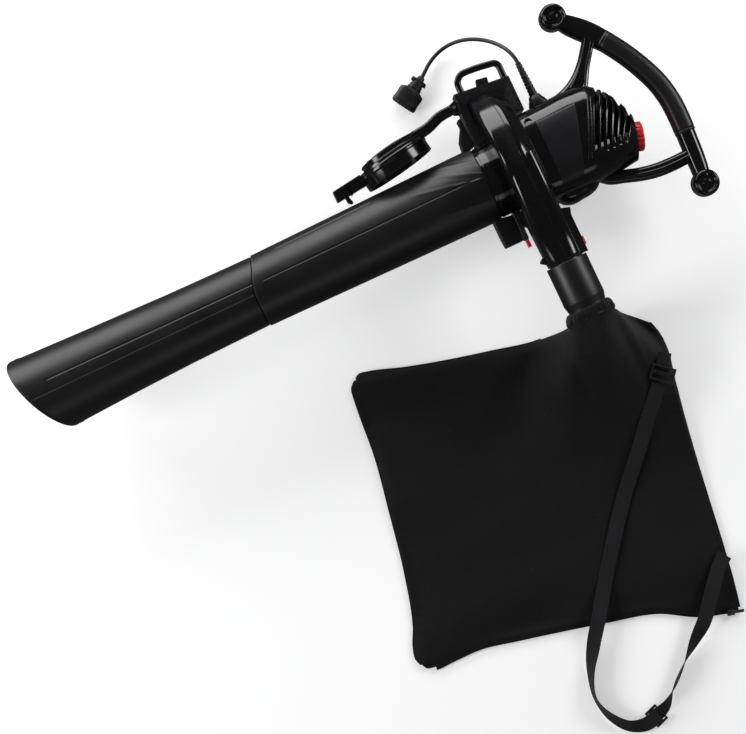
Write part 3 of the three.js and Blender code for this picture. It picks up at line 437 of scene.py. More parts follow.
def metal(name, dark, light, rough, grain, streak=1.0):
    """Bare metal: colour and gloss drift with handling, and fine tool marks run one way."""
    material, tree, shader, where = started(name)
    stretched = add(tree, "Mapping", {"Vector": where, "Scale": (streak, 1.0, 1.0)})
    marks = noise(tree, stretched, grain, 2.0)
    cloud = noise(tree, where, 9.0, 3.0)
    tree.links.new(mixed(tree, cloud, srgb(dark), srgb(light)), shader.inputs["Base Color"])
    tree.links.new(ranged(tree, maths(tree, "ADD", marks, cloud), 0.6, 1.4, rough[0], rough[1]),
                   shader.inputs["Roughness"])
    shader.inputs["Metallic"].default_value = 1.0
    bumped(tree, shader, marks, 0.02)
    return material


def steel():
    """Ground steel of shafts, springs and screws: bright, with fine turning marks across X."""
    return metal("ground_steel", "#8d9094", "#c6c9cc", (0.18, 0.36), 0.4, 6.0)


def zip_metal():
    """Black-oxide die-cast zinc of the zip slider and its pull: dark, with bright rubbed patches."""
    return metal("oxidised_zinc_casting", "#2c2c2e", "#7d7d80", (0.3, 0.5), 1.2)


def laminated_iron():
    """Stacked electrical sheet: varnished grey with the fine lines of the stack across X."""
    return metal("laminated_electrical_sheet", "#4c4e52", "#6b6d72", (0.4, 0.6), 0.8, 8.0)


def brass():
    """Drawn brass of the plug blades and brush holders: warm yellow, slightly tarnished."""
    return metal("drawn_brass", "#a98443", "#d8b873", (0.2, 0.38), 0.6)


def copper():
    """Turned copper of the commutator: orange, with a brown skin in places."""
    return metal("turned_copper", "#8a4a2b", "#c77b52", (0.22, 0.42), 0.4, 5.0)


def woven(where, tree, shader, dark, light, thread, fuzz, twill=0.0):
    """Over-and-under threads: two crossed sine waves make the weave's height, a slow cloud varies its
    colour, lint lies on it, and a little sheen stands for loose fibre."""
    turned = add(tree, "Mapping", {"Vector": where, "Rotation": (0, 0, twill)})
    across = add(tree, "TexWave", {"Vector": turned, "Scale": 314.16 / thread / 2, "Distortion": 0.4},
                 wave_type="BANDS", bands_direction="X")
    along = add(tree, "TexWave", {"Vector": turned, "Scale": 314.16 / thread / 2, "Distortion": 0.4},
                wave_type="BANDS", bands_direction="Y")
    weave = maths(tree, "MULTIPLY", across, along)
    cloud = noise(tree, where, 70.0, 5.0)
    lint = ranged(tree, noise(tree, where, 2.2, 1.0), 0.7, 0.78, 0.0, fuzz)
    share = maths(tree, "MULTIPLY", ranged(tree, cloud, 0.3, 0.7, 0.3, 1.0),
                  ranged(tree, weave, 0.0, 0.8, 0.4, 1.0))
    colour = mixed(tree, share, srgb(dark), srgb(light))
    colour = mixed(tree, lint, colour, srgb("#77767a"))
    tree.links.new(colour, shader.inputs["Base Color"])
    tree.links.new(ranged(tree, cloud, 0.3, 0.7, 0.82, 0.95), shader.inputs["Roughness"])
    shader.inputs["Specular IOR Level"].default_value = 0.25
    shader.inputs["Sheen Weight"].default_value = 0.06
    shader.inputs["Sheen Roughness"].default_value = 0.5
    return weave


def bag_cloth():
    """Black woven polyester of the bag: matt, with a half-millimetre plain weave and small puckers."""
    material, tree, shader, where = started("woven_polyester_black")
    weave = woven(where, tree, shader, "#0b0b0d", "#151518", 0.9, 0.12)
    pucker = maths(tree, "MULTIPLY", noise(tree, where, 16.0, 3.0), 6.0)
    bumped(tree, shader, maths(tree, "ADD", weave, pucker), 0.16)
    return material


def black_webbing():
    """Black polypropylene webbing: narrow slanted ribs across its length and a woven edge, from the
    piece's own run and width coordinates."""
    material, tree, shader = started("woven_polypropylene_webbing_black")[:3]
    run = add(tree, "UVMap", uv_map="run")
    weave = woven(run, tree, shader, "#111113", "#2a2a2d", 1.6, 0.2, 0.5)
    bumped(tree, shader, weave, 0.3)
    return material


MATERIALS = {make.__name__: make() for make in (
    gloss_black, matte_black, panel_grey, red_plastic, rubber_black, carbon, steel, zip_metal,
    laminated_iron, brass, copper, bag_cloth, black_webbing)}


INSIDE = {
    "steel": ("motor_shaft", "front_bearing", "rear_bearing", "impeller_nut", "tube_button_spring",
              "bag_button_spring", "cover_hinge_pin"),
    "matte_black": ("impeller", "motor_frame", "speed_switch", "dial_spindle"),
    "laminated_iron": ("armature", "stator"), "copper": ("commutator",), "carbon": ("carbon_brush_upper",
    "carbon_brush_lower"), "brass": ("brush_holder_upper", "brush_holder_lower"),
}


def finish_frame():
    """The hidden working parts stay as the CAD made them, each in the material of what it is."""
    for slot, names in INSIDE.items():
        for name in names:
            NODES[name].data.materials.clear()
            NODES[name].data.materials.append(MATERIALS[slot])


# ---- cord and plug ----
CORD = [
    [104.2, 154.6, 110], [103.4, 162, 109.6], [101.6, 171, 107.5], [98.4, 181, 102.5], [93.8, 191, 95],
    [87.6, 201.4, 84.5], [79.8, 211.6, 72], [70.6, 221, 58.5], [60, 229, 45], [48, 235.2, 32.5],
    [35, 238.8, 22.5], [21.5, 239.4, 15.8], [8, 237, 12.4], [-5, 232, 11.6], [-16.6, 225.4, 12.4],
    [-26.4, 218, 13.6], [-35, 211.2, 14],
]


def make_cord():
    """The round mains lead: a tube along the route, with the plug on its end."""
    marks = np.array(CORD) + [0, 0, FLOOR]
    path = through(marks, 160)
    cord = piece("mains_cord", [tube(path, 3.25)], "rubber_black", "cord")
    plug = make_plug()
    relief = make_strain_relief()
    blades = [refined("plug_pin_" + side, "plug_blade_" + side, "brass", 0.3) for side in ("a", "b")]


def make_strain_relief():
    """The moulded sleeve: a tapering tube with a groove every 6 mm, its radius half * (1 - dip), where
    dip is a narrow cosine comb."""
    share = np.linspace(0, 1, 150)
    path = np.stack([105 - 0.8 * share, 96 + 58 * share, 0 * share], -1)
    half = 7 - 2.2 * share
    comb = smoothstep(0.55, 0.9, np.cos(2 * np.pi * share * 9.5)) * smoothstep(0.04, 0.1, share)
    half = half - 0.9 * comb * smoothstep(1.0, 0.93, share)
    return piece("cord_sleeve", [tube(path, half, 28)], "rubber_black", "strain_relief")


def make_gland():
    """The lead's boot on the housing: a superellipse that narrows upwards with two soft steps."""
    marks = through([[105.5, 70, 16, 13], [105.5, 82, 15.5, 13], [105.3, 90, 11.5, 11.5],
                     [105, 95.6, 9, 9]], 40)
    half = marks[:, 2] - 0.7 * smoothstep(0.5, 1, np.cos((marks[:, 1] - 84) * 1.2)) * (marks[:, 1] > 80)
    flat = 0 * half
    centres = np.stack([marks[:, 0], marks[:, 1], flat], -1)
    piece("cord_boot", [loft(centres, np.stack([half, flat, flat], -1),
                             np.stack([flat, flat, marks[:, 3]], -1), 2.6, 48)], "rubber_black", "cord_gland")


def make_plug():
    """The moulded plug: a boot that swells in grooves into a squarish head, with a finger waist and a
    rim round the open hood."""
    out = np.array([0.3, 4, 8, 14, 20, 25.5, 28, 30, 34, 46, 52, 55.5, 57, 57, 50, 34.0])
    half = np.array([5, 6.6, 8.5, 10.2, 11.5, 12.6, 17.5, 21, 21.6, 21.2, 22, 21.6, 20.4, 16.5, 16.5, 16.5])
    deep = np.array([5, 6.6, 8, 9, 9.6, 10.2, 11.6, 12.8, 13, 12.6, 13.2, 12.8, 12, 9.6, 9.6, 9.6])
    along, across = unit([-0.86, -0.51, 0]), unit([0.51, -0.86, 0])
    t = np.linspace(0, len(out) - 1, 150)
    at, half, deep = (np.interp(t, np.arange(len(out)), v) for v in (out, half, deep))
    groove = 0.8 * smoothstep(0.3, 0.9, np.cos(at * 1.25)) * (at < 25) * (at > 2) * (t < 6)
    centres = np.array([-35.2, 211, FLOOR + 14]) + at[:, None] * along
    power = np.interp(t, [0, 5, 7, 15], [2.2, 2.6, 4, 4])
    patch = loft(centres, across * (half - groove)[:, None], np.array([0, 0, 1.0]) * (deep - groove)[:, None],
                 power, 56)
    tab = [np.array([-35.2, 211]) + along[:2] * a + across[:2] * b for a, b in
           ((7, -13), (13, -14), (13, 14), (7, 13))]
    return piece("plug_body", [patch, slab(tab, FLOOR + 6, FLOOR + 22, 1.4, 2.0)], "rubber_black", "plug")


# ---- suction tube ----
def joint_edge(y):
    """Where the two tubes meet: the joint runs back by 18 mm across the tube's upper half."""
    return -432 + 18 * smoothstep(-12, 62, y)


def tube_skin(stations, grooves, rows, slant, shift):
    """A tube's outside: the radius follows the stations and dips by depth * exp(-(distance/width)^2) at
    each groove, given as angle from +Z towards +Y in degrees, x from and to, depth and width."""
    cuts = [math.radians(g[0]) for g in grooves]
    angle = spread(-np.pi, np.pi, math.radians(2.2), cuts, math.radians(5), math.radians(0.55))[:-1]
    x, angle = np.meshgrid(rows, angle, indexing="ij")
    radius = np.interp(x, *np.transpose(stations))
    for degrees, start, end, depth, width in grooves:
        off = (angle - math.radians(degrees)) * radius
        radius = radius - depth * np.exp(-((off / width) ** 2)) * smoothstep(start, start + 5, x) \
            * smoothstep(end, end - 5, x)
    y, z = radius * np.sin(angle), radius * np.cos(angle)
    if slant:
        share = np.maximum(0, (MOUTH["from"] - x) / (MOUTH["from"] - MOUTH["x"]))
        x = x - share * (MOUTH["slant_y"] * y + MOUTH["slant_z"] * z)
    if shift is not None:
        x = x + shift(x, y)
    return np.stack([x, y, z], -1)


def make_lower_tube():
    """The flared lower tube: shoulder, skin, thick lip at the slanted mouth, and bore."""
    outer = [(-808, 68.4), (-783, 66.8), (-683, 62.5), (-567, 58.5), (-440, 56.2), (-434, 55.8),
             (-432, 53.5), (-390, 53.5)]
    grooves = [(12, -770, -428, 0.8, 1.3), (-4.6, -812, -428, 0.9, 1.1), (168, -770, -428, 0.8, 1.3),
               (-175.4, -812, -428, 0.9, 1.1)]
    rows = spread(-806.5, -390, 4, (-812, -770, -431), 5, 1.0)

    def shift(x, y):
        return (joint_edge(y) + 432) * smoothstep(-470, -434, x)
    skin = tube_skin(outer, grooves, rows, True, shift)
    lip_marks = np.array([[-390, 51.4], [-434, 51.4], [-567, 56.2], [-683, 60.2], [-780, 64.4], [-800, 65.4],
                          [-806.4, 65.9], [-808, 66.8], [-808, 67.8]])
    angle = np.arctan2(skin[0, :, 1], skin[0, :, 2])
    radius = lip_marks[:, 1][:, None]
    y, z = radius * np.sin(angle), radius * np.cos(angle)
    x = lip_marks[:, 0][:, None] + 0 * y
    share = np.maximum(0, (MOUTH["from"] - x) / (MOUTH["from"] - MOUTH["x"]))
    x = x - share * (MOUTH["slant_y"] * y + MOUTH["slant_z"] * z)
    bore = np.stack([x, y, z], -1)
    lip = lip_line(skin)
    piece("suction_tube_lower", [grid(np.concatenate([bore, lip]), True, True)], "matte_black", "lower_tube",
          sharp=50)


def lip_line(skin):
    """A bead round the mouth: the skin raised by 0.9 * exp(-(d/1.6)^2), d from the row 9 mm inside it."""
    d = np.abs(skin[:, :, :1] - skin[:1, :, :1]) - 9
    return skin + unit(skin * [0, 1, 1]) * 0.9 * np.exp(-((d / 1.6) ** 2))


def make_upper_tube():
    """The upper tube: a slightly flared skin with moulded lines that fan out towards the fan, the hook
    that goes into the bracket, and the latch block."""
    outer = [(-432, 57.6), (-420, 57.6), (-60, 62), (-27.5, 62), (-26, 61)]
    grooves = [(9.6, -408, -34, 0.7, 1.2), (-170.4, -408, -34, 0.7, 1.2), (56, -375, -205, 0.8, 1.2),
               (124, -375, -205, 0.8, 1.2), (-62, -300, -60, 0.7, 1.2)]
    rows = spread(-420, -26, 4, (-408, -375, -205, -34, -30), 6, 1.0)

    def shift(x, y):
        return (joint_edge(y) + 420) * smoothstep(-380, -419, x)
    skin = tube_skin(outer, grooves, rows, False, shift)
    skin = flare_creases(skin)
    angle = np.arctan2(skin[0, :, 1], skin[0, :, 2])
    marks = np.array([[-26, 59.6], [-60, 59.6], [-380, 55.1], [-420, 54.6]])
    y, z = marks[:, 1:] * np.sin(angle), marks[:, 1:] * np.cos(angle)
    x = marks[:, :1] + (joint_edge(y) + 420) * (marks[:, :1] < -400)
    bore = np.stack([x, y, z], -1)
    hook = slab([[-38, 60], [-36, 78], [-24, 99], [-25, 110], [-18, 112], [-16, 62.5], [-26, 60]],
                -14, 14, 1.5)
    latch = slab([[-41, -54], [-41, -92], [-40, -107], [-9, -107], [-9, -63], [-26, -60]], -16, 16, 1.5)
    grip = [slab([[-38, -103.4 + 7 * i], [-38, -101.4 + 7 * i], [-12, -101.4 + 7 * i], [-12, -103.4 + 7 * i]],
                 15, 16.9, 0.6, 0.8) for i in range(4)]
    piece("suction_tube_upper", [grid(np.concatenate([skin, bore]), True, True), hook, latch, *grip],
          "matte_black", "upper_tube", sharp=50)


def flare_creases(skin):
    """Three raised creases that run together towards the fan: height 0.8 * exp(-(d/1.6)^2), where d is
    the distance in plan from each line, fading at both of its ends."""
    radial = unit(skin * [0, 1, 1])
    x, y = skin[..., 0], skin[..., 1]
    rise = 0 * x
    for x0, y0, x1, y1 in ((-150, 30, -28, 5), (-112, 48, -24, 12), (-95, 55, -24, 36),
                           (-130, -18, -28, -30)):
        slope = (y1 - y0) / (x1 - x0)
        d = (y - y0 - slope * (x - x0)) / math.hypot(1, slope)
        fade = smoothstep(x0, x0 + 18, x) * smoothstep(x1, x1 - 10, x)
        rise = rise + 0.8 * np.exp(-((d / 1.6) ** 2)) * fade
    return skin + radial * (rise * (skin[..., 2] > 0))[..., None]


# ---- fan scroll ----
def spiral_radius(angle):
    """Radius of the scroll, from -Y by way of -Z, +Y and +Z: start plus growth a quarter turn over three
    quarters, then back to the start over the last."""
    quarters = np.mod(angle, 2 * np.pi) / (np.pi / 2)
    full = SPIRAL["start"] + 3 * SPIRAL["growth"]
    return np.where(quarters <= 3, SPIRAL["start"] + SPIRAL["growth"] * quarters,
                    full - SPIRAL["close"] * (quarters - 3))


def scroll_disc(profile, hub):
    """The snail shell: at each angle, the spiral's radius less the profile's inset, at the profile's x, and
    last a round hub of one x and radius on the fan axis."""
    around = 192
    angle = np.linspace(0, 2 * np.pi, around, endpoint=False)
    profile = np.asarray(profile, float)
    radius = spiral_radius(angle)[None] - profile[:, 1:]
    radius = np.concatenate([radius, np.full((1, around), float(hub[1]))])
    x = np.concatenate([profile[:, 0], [hub[0]]])[:, None] + 0 * radius
    middle = np.concatenate([np.full(len(profile), float(SPIRAL["y"])), [0.0]])[:, None]
    height = np.maximum(-radius * np.sin(angle), FLOOR + 0.2)
    return grid(np.stack([x, middle - radius * np.cos(angle), height], -1), wrap_columns=True)


def duct(clip):
    """The outlet duct: superellipses that round off from the scroll to the round bag port."""
    marks = through([[10, 80, 28, 27, 45, 5], [-45, 80, 27.5, 28, 40, 5], [-90, 78, 27, 29, 35, 4],
                     [-130, 76, 27.5, 29, 31, 3], [-166, 76, 28.5, 29, 30, 2.4]], 60, 1)
    y, z, x, half_x, half_z, power = marks.T
    flat = 0 * y
    lipped = 1 - 0.02 * smoothstep(-162, -166, y)
    points, quads, uv = loft(np.stack([x, y, z], -1), np.stack([half_x * lipped, flat, flat], -1),
                             np.stack([flat, flat, half_z * lipped], -1), power, 72)
    return clipped(points, clip), quads, uv


def make_scroll():
    """Front and rear halves of the snail housing, parted at a fine joint, with collar, spigot and lug."""
    front = [[29.85, 14], [29.85, 0.4], [29.4, 0], [8, 0], [5.5, 0.4], [3.2, 1.5], [1.5, 3.4], [0.4, 5.6],
             [0, 8], [0, 28]]
    rear = [[30.15, 14], [30.15, 0.4], [30.6, 0], [33, 0], [35.5, 0.3], [37.5, 1.1], [41, 3.4], [52.5, 11.4],
            [54.6, 13.4], [55.7, 15.6], [56, 18], [56, 40]]
    collar = lathe(rounded([[54, 4], [54, -45], [58.2, -45], [58.2, -22], [59.5, -22], [59.5, 4]], 1.2, 3),
                   128)
    spigot = lathe(rounded([[27.8, 0], [27.8, -28], [25.4, -28], [25.4, 0]], 0.8, 2), 64,
                   (BAG_TUBE_X, DUCT_END, DUCT_Z), (0, 1, 0))
    lug = slab([[8, -140], [-6, -149], [-9, -153], [4, -162], [8, -162]], DUCT_Z - 9, DUCT_Z + 9, 1.2)
    piece("fan_housing_front", [scroll_disc(front, (0.4, 58)), duct((0, -1, 29.85)), collar, spigot, lug],
          "gloss_black", "fan_scroll_front")
    piece("fan_housing_rear", [scroll_disc(rear, (56, 0)), duct((0, 1, 30.15))], "gloss_black",
          "fan_scroll_rear")


# ---- latches ----
def make_latches():
    """The two latch housings, from their CAD solids, and their red buttons with grip ridges."""
    refined("tube_latch_housing", "tube_latch_tower", "gloss_black", 0.8)
    refined("bag_latch_housing", "bag_latch_channel", "gloss_black", 0.8)
    body = [[-6, -121], [-6, -88], [-0.9, -88], [-0.9, -121]]
    ridges = [slab([[-6.05, y], [-6.05, y + 0.9], [-0.85, y + 0.9], [-0.85, y]], -7.5, 8.6, 0.3, 0.3)
              for y in (-119.5, -117.3, -115.1, -112.9)]
    piece("tube_release_key", [slab(body, -8.5, 8.5, 1.0, 1.0), *ridges], "red_plastic",
          "tube_release_button")
    body = [[64, -155], [64, -141], [70, -141], [70, -155]]
    ridges = [slab([[69.4, y], [69.4, y + 0.8], [70.3, y + 0.8], [70.3, y]], DUCT_Z - 5.5, DUCT_Z + 5.5,
                   0.3, 0.3) for y in (-152.5, -150, -147.5, -145)]
    piece("bag_release_key", [slab(body, DUCT_Z - 7, DUCT_Z + 7, 1.4, 1.4), *ridges], "red_plastic",
          "bag_release_button")


# ---- carry bracket and inlet cover ----
def arc(x, y, radius, start, end, count=14):
    """Points on a circle from one angle to another."""
    angle = np.linspace(start, end, count)
    return np.stack([x + radius * np.cos(angle), y + radius * np.sin(angle)], -1)


def make_bracket():
    """The bracket from its CAD solid, with the web that closes it against the collar, and the carry loop:
    a rounded bar along two arcs and their tangents."""
    refined("carry_frame", "carry_bracket", "gloss_black", 1.0)
    web = slab([[-14.5, 50], [-14.5, 64], [-0.6, 64], [-0.6, 50]], -22, 22, 0.8, 0.8)
    piece("carry_frame_web", [web], "gloss_black", "carry_bracket")
    marks = np.concatenate([[[2.2, 147.9]], [[2.2, 153]], arc(19, 159.5, 16.8, np.pi, np.pi / 2 - 0.09),
                            arc(64.4, 160.8, 10.2, np.pi / 2 - 0.09, 0, 10), [[74.6, 150]], [[74.6, 140.4]]])
    marks = np.concatenate([marks, np.full((len(marks), 1), 5.3)], 1)
    piece("carry_handle", [bar(marks, 6.4, 3.2, 32, 120)], "gloss_black", "carry_loop")


def on_cover(across, out):
    """A point across the cover and out along its axis, in plan."""
    c, s = math.cos(COVER["tilt"]), math.sin(COVER["tilt"])
    return [COVER["x"] + across * c - out * s, COVER["y"] + across * s + out * c]


def make_cover():
    """The inlet grille: a dished rim with a rolled edge, spokes, rings, hub, and its arm to the hinge."""
    at = (*on_cover(0, 0), 0)
    along = (-math.sin(COVER["tilt"]), math.cos(COVER["tilt"]), 0)
    profile = [[60, -17.5], [60, -1], [61.4, 0.4], [61.4, 5], [60, 6.6], [60, 11.5], [50, 12.6], [49.4, 21.2],
               [30, 24.3], [30, 21.5], [46, 18], [47, 10], [56, 8], [56.5, -17.5]]
    shell = lathe(rounded(profile, 0.9, 3), 128, at, along)
    rings = [lathe(rounded([[r - 2.2, 18.6], [r - 2.2, 21.4], [r + 2.2, 21.4], [r + 2.2, 18.6]], 0.7, 2),
                   96, at, along) for r in (21, 39)]
    hub = lathe(rounded([[0, 18.6], [0, 21.8], [12, 21.8], [12, 18.6]], [0, 0, 0.9, 0.9], 3), 64, at, along)
    turn = Matrix.Translation(at) @ Matrix.Rotation(COVER["tilt"], 4, "Z")
    spokes = []
    for i in range(6):
        points, quads, uv = slab([[10, -1.5], [52, -1.5], [52, 1.5], [10, 1.5]], 17.6, 22.0, 0.6, 0.6)
        points = points[:, [0, 2, 1]]
        swing = np.array(Matrix.Rotation(-(i * math.pi / 3 + 0.3), 4, "Y"))
        spokes.append((points @ swing[:3, :3].T @ np.array(turn)[:3, :3].T + np.array(at), quads, uv))
    arm = bar([[*on_cover(48, 14), 9], [-70, 121, 8.6], [-46, 129, 8.4], [HINGE[0], HINGE[1], 7.9]],
              12.9, 5, 40, 60)
    knuckle = rod(8, (*HINGE, -13), (*HINGE, 13), 1.0, 48)
    piece("inlet_grille", [shell, *rings, hub, *spokes, arm, knuckle], "gloss_black", "inlet_cover", sharp=45)
    lug = slab([on_cover(-58, -6), on_cover(-58, 14), on_cover(-110, 16), on_cover(-113, -2.5)],
               -11, 11, 1.4, 2)
    hook = slab([on_cover(-93, 2), on_cover(-99, 2), on_cover(-99.4, -13), on_cover(-95, -17.5),
                 on_cover(-91, -16.5)], -5.5, 5.5, 0.9, 1.2)
    step = slab([on_cover(-84, -5.6), on_cover(-84, 15), on_cover(-88, 15), on_cover(-88, -5.6)],
                -11, 11, 0.7, 0.7)
    piece("inlet_grille_latch", [lug, hook, step], "gloss_black", "cover_latch")


# ---- motor housing ----
HULL = np.array([[58, 2, 75, 70, 0, 3], [100, 2, 76.2, 70, 0, 3], [150, 2, 77, 70, 0, 3],
                 [178, 0, 74, 66, 0.05, 2.8], [198, -10, 63, 58, 0.14, 2.5], [212, -22, 50, 47, 0.22, 2.3],
                 [221.5, -33, 38, 36, 0.273, 2.1]])
SLANT = math.tan(0.42)
SLOTS = 146 + 11.4 * np.arange(6)


def hull_point(x, angle):
    """The housing's skin: the stations' superellipse at place x along it and at an angle from +Y to +Z."""
    fine = through(HULL, 200, 1)
    y, half_y, half_z, tilt, power = (np.interp(x, fine[:, 0], fine[:, k]) for k in range(1, 6))
    c, s = np.cos(angle), np.sin(angle)
    size = (np.abs(c) ** power + np.abs(s) ** power) ** (-1 / power)
    across = half_y * c * size
    return np.stack([x + np.sin(tilt) * across, y + np.cos(tilt) * across, half_z * s * size], -1)


def make_motor_shell(name, node, side):
    """Half of the motor housing. Its grid lines run along the slanted slots: x = q + slant * (y + 36) for
    the q of each line, eased in behind the plain front. Each slot's floor lies 12 mm inside the skin, and
    its edges are rounded over by a few close lines."""
    offsets = np.array([-1.4, -0.8, -0.4, -0.12, 0.12, 0.3])
    depths = np.array([0, 0.08, 0.3, 1.1, 7.0, 12.0])
    line = np.concatenate([SLOTS[:, None] - 3.5 + offsets, SLOTS[:, None] + 3.5 - offsets[::-1]]).ravel()
    q = np.unique(np.concatenate([np.linspace(58, 143, 36), line, np.arange(209, 262, 2.0)]))
    angle = np.linspace(0.003, np.pi - 0.003, 230)
    if side < 0:
        angle = -angle[::-1]
    q, angle = np.meshgrid(q, angle, indexing="ij")
    ease = smoothstep(62, 140, q)
    x = q.copy()
    for _ in range(6):
        y = hull_point(np.clip(x, 58, 221.5), angle)[..., 1]
        x = np.clip(q + ease * SLANT * (y + 36), 58, 221.5)
    points = hull_point(x, angle)
    near = np.abs(q[..., None] - SLOTS).min(-1)
    depth = np.interp(3.5 - near, offsets, depths)
    open_here = np.clip((points[..., 1] + 38) / 13, 0, 1)
    centre = np.stack([x, np.interp(x, HULL[:, 0], HULL[:, 1]), 0 * x], -1)
    direction = unit((points - centre) * [0, 1, 1])
    points = points - direction * (depth * open_here)[..., None]
    points[..., 2] = np.maximum(points[..., 2], 0.15) if side > 0 else np.minimum(points[..., 2], -0.15)
    parts = [grid(capped(points))]
    clip = (2, side, 0.15 * side)
    bump = bar([[74, -64, 14], [84, -68, 19], [106, -68, 20], [128, -66, 17], [140, -62, 10]], 30, 2.3,
               48, 60, clip)
    flange = loft([[56.3, 1, 0], [57, 1, 0], [60.6, 1, 0], [61.3, 1, 0]],
                  np.array([[0, 79, 0], [0, 80, 0], [0, 80, 0], [0, 79, 0.0]]),
                  np.array([[0, 0, 71.5], [0, 0, 72.5], [0, 0, 72.5], [0, 0, 71.5]]), 3.2, 160)
    flange = (clipped(flange[0], clip), *flange[1:])
    piece(name, [*parts, bump, flange, *beads(side), *bosses(side)], "gloss_black", node, sharp=42)


def skin_height(x, y):
    """Height of the housing's skin over a place in plan: hz * (1 - |(y - y0) / hy|^p)^(1/p)."""
    fine = through(HULL, 200, 1)
    y0, half_y, half_z, power = (np.interp(x, fine[:, 0], fine[:, k]) for k in (1, 2, 3, 5))
    return half_z * np.maximum(0, 1 - np.abs((y - y0) / half_y) ** power) ** (1 / power)


def beads(side):
    """Two fine beads beside the vents that run on up the upper arm: height is the skin's, or the arm's
    where that is higher, smoothed along the line."""
    found = []
    for shift in (0.0, 5.5):
        line = through([[131 + shift, -38], [158 + shift, 22], [180 + shift, 69], [196 + shift, 97],
                        [214 + shift, 122], [226 + shift, 140]], 160, 2)
        height = np.maximum(skin_height(line[:, 0], line[:, 1]), 14.0)
        height = np.convolve(np.pad(height, 4, "edge"), np.ones(9) / 9, "valid")
        path = np.concatenate([line, side * height[:, None]], 1)
        found.append(tube(path, 1.1, 10))
    return found


def bosses(side):
    """Round screw bosses standing just proud of the skin, each with a dark counterbore."""
    found = []
    for x, y, top in ((71, 56, 60.5), (216, 10, 38)):
        profile = rounded([[4.2, top - 12], [0, top - 12], [0, top - 12.2], [6.6, top - 12.2], [6.6, top],
                           [4.2, top]], [0.1, 0.1, 0.1, 0.1, 0.9, 0.9], 2)
        found.append(lathe(profile, 40, (x, y, 0), (0, 0, side)))
    return found


def make_panel():
    """The plain inlay: a trapezoid that lies 0.7 mm proud of the skin, its rim rounded down into it."""
    t, s = np.linspace(0, 1, 60), np.linspace(0, 1, 60)
    t, s = np.meshgrid(t, s, indexing="ij")
    left = np.array([80, 52]) * (1 - t[..., None]) + np.array([79, -58]) * t[..., None]
    right = np.array([150, 53]) * (1 - t[..., None]) + np.array([116, -57]) * t[..., None]
    plan = left * (1 - s[..., None]) + right * s[..., None]
    height = skin_height(plan[..., 0], plan[..., 1])
    rim = np.minimum(np.minimum(t, 1 - t) * 110, np.minimum(s, 1 - s) * 55)
    height = height + 0.7 - 1.6 * (1 - smoothstep(0, 1.0, rim))
    top = np.concatenate([plan, height[..., None]], -1)
    under = top - [0, 0, 2.5]
    sides = [grid(np.stack([top[0], under[0]])), grid(np.stack([top[-1], under[-1]])),
             grid(np.stack([top[:, 0], under[:, 0]])), grid(np.stack([top[:, -1], under[:, -1]]))]
    piece("name_panel_blank", [grid(top), grid(under), *sides], "panel_grey", "side_panel")


def make_screws():
    """Pan heads on their shanks, seen down their counterbores."""
    for name, x, y, top in (("front", 71, 56, 17.2), ("rear", 216, 10, 17.2)):
        head = lathe(rounded([[0, top - 3.4], [3.9, top - 3.4], [3.9, top - 1], [2.2, top], [0, top]],
                             [0, 0.2, 0.8, 0.8, 0], 3, closed=False), 40, (x, y, 0), (0, 0, 1), closed=False)
        shank = rod(1.9, (x, y, -30), (x, y, 14), 0.3)
        piece("case_screw_head_" + name, [head, shank], "steel", "case_screw_" + name)


# ---- handle ----
ARC = [[190.5, 187.5, 12], [200, 176.5, 15], [224, 151, 17.5], [246, 123, 16.5], [264, 94, 16],
       [281, 60, 15.5], [293, 28, 15], [299, -4, 15], [300, -40, 15], [298, -75, 15], [296, -108, 14.5],
       [294.5, -126, 13.5], [293.3, -137, 12.5]]
UPPER_ARM = [[120, 66, 12], [146, 70, 13], [166, 78, 13], [182, 91, 11], [197, 108, 9], [212, 128, 8.5],
             [228, 149, 8.5], [236, 157, 8.5]]
LOWER_ARM = [[142, -68, 6], [158, -77, 9], [180, -83, 10.5], [205, -91, 11], [232, -96.5, 11.5],
             [262, -98, 11.5], [292, -97, 11]]
GRIP = [[240, 132], [246, 123], [264, 94], [281, 60], [293, 28], [299, -4], [300, -40], [299, -62]]


def make_handle():
    """The arc handle's two gloss shells, its arms, the textured grip over them and the two end knobs."""
    for name, node, side in (("handle_shell_near", "handle_near", 1), ("handle_shell_far", "handle_far", -1)):
        clip = (2, side, 0.15 * side)
        rib = bar([[x - 4, y + 2, half * 0.3] for x, y, half in UPPER_ARM[2:]], 15.2, 3.0, 28, 60, clip=clip)
        parts = [bar(ARC[:4], 17.5, 2.8, 48, 60, clip=clip), bar(ARC[8:], 17.5, 2.8, 48, 60, clip=clip),
                 bar(UPPER_ARM, 14, 3.2, 40, 60, clip=clip), bar(LOWER_ARM, 14, 3.2, 40, 80, clip=clip),
                 rib, bar([[x, y - 1, half * 0.4] for x, y, half in LOWER_ARM[2:]], 15.0, 3.0, 28, 60, clip)]
        piece(name, parts, "gloss_black", node)
    make_grip()
    for name, x, y in (("upper", 184.5, 195), ("lower", 293, -148)):
        make_knob(name, x, y)


def make_grip():
    """The textured sleeve: superellipse sections with a rolled lip at each end."""
    path = through(GRIP, 160, 2)
    t = np.linspace(0, 1, 160)
    end = np.minimum(t, 1 - t) * 230
    half = 16.4 - 1.6 * (1 - smoothstep(0, 2.0, end)) - 0.8 * np.exp(-(((end - 6) / 1.1) ** 2))
    along = unit(np.gradient(path, axis=0))
    across = np.stack([along[:, 1], -along[:, 0], 0 * t], -1) * half[:, None]
    centres = np.concatenate([path, 0 * t[:, None]], 1)
    over = np.stack([0 * t, 0 * t, half * 19 / 16.4], -1)
    piece("handle_sleeve", [loft(centres, across, over, 2.8, 64)], "matte_black", "handle_grip")


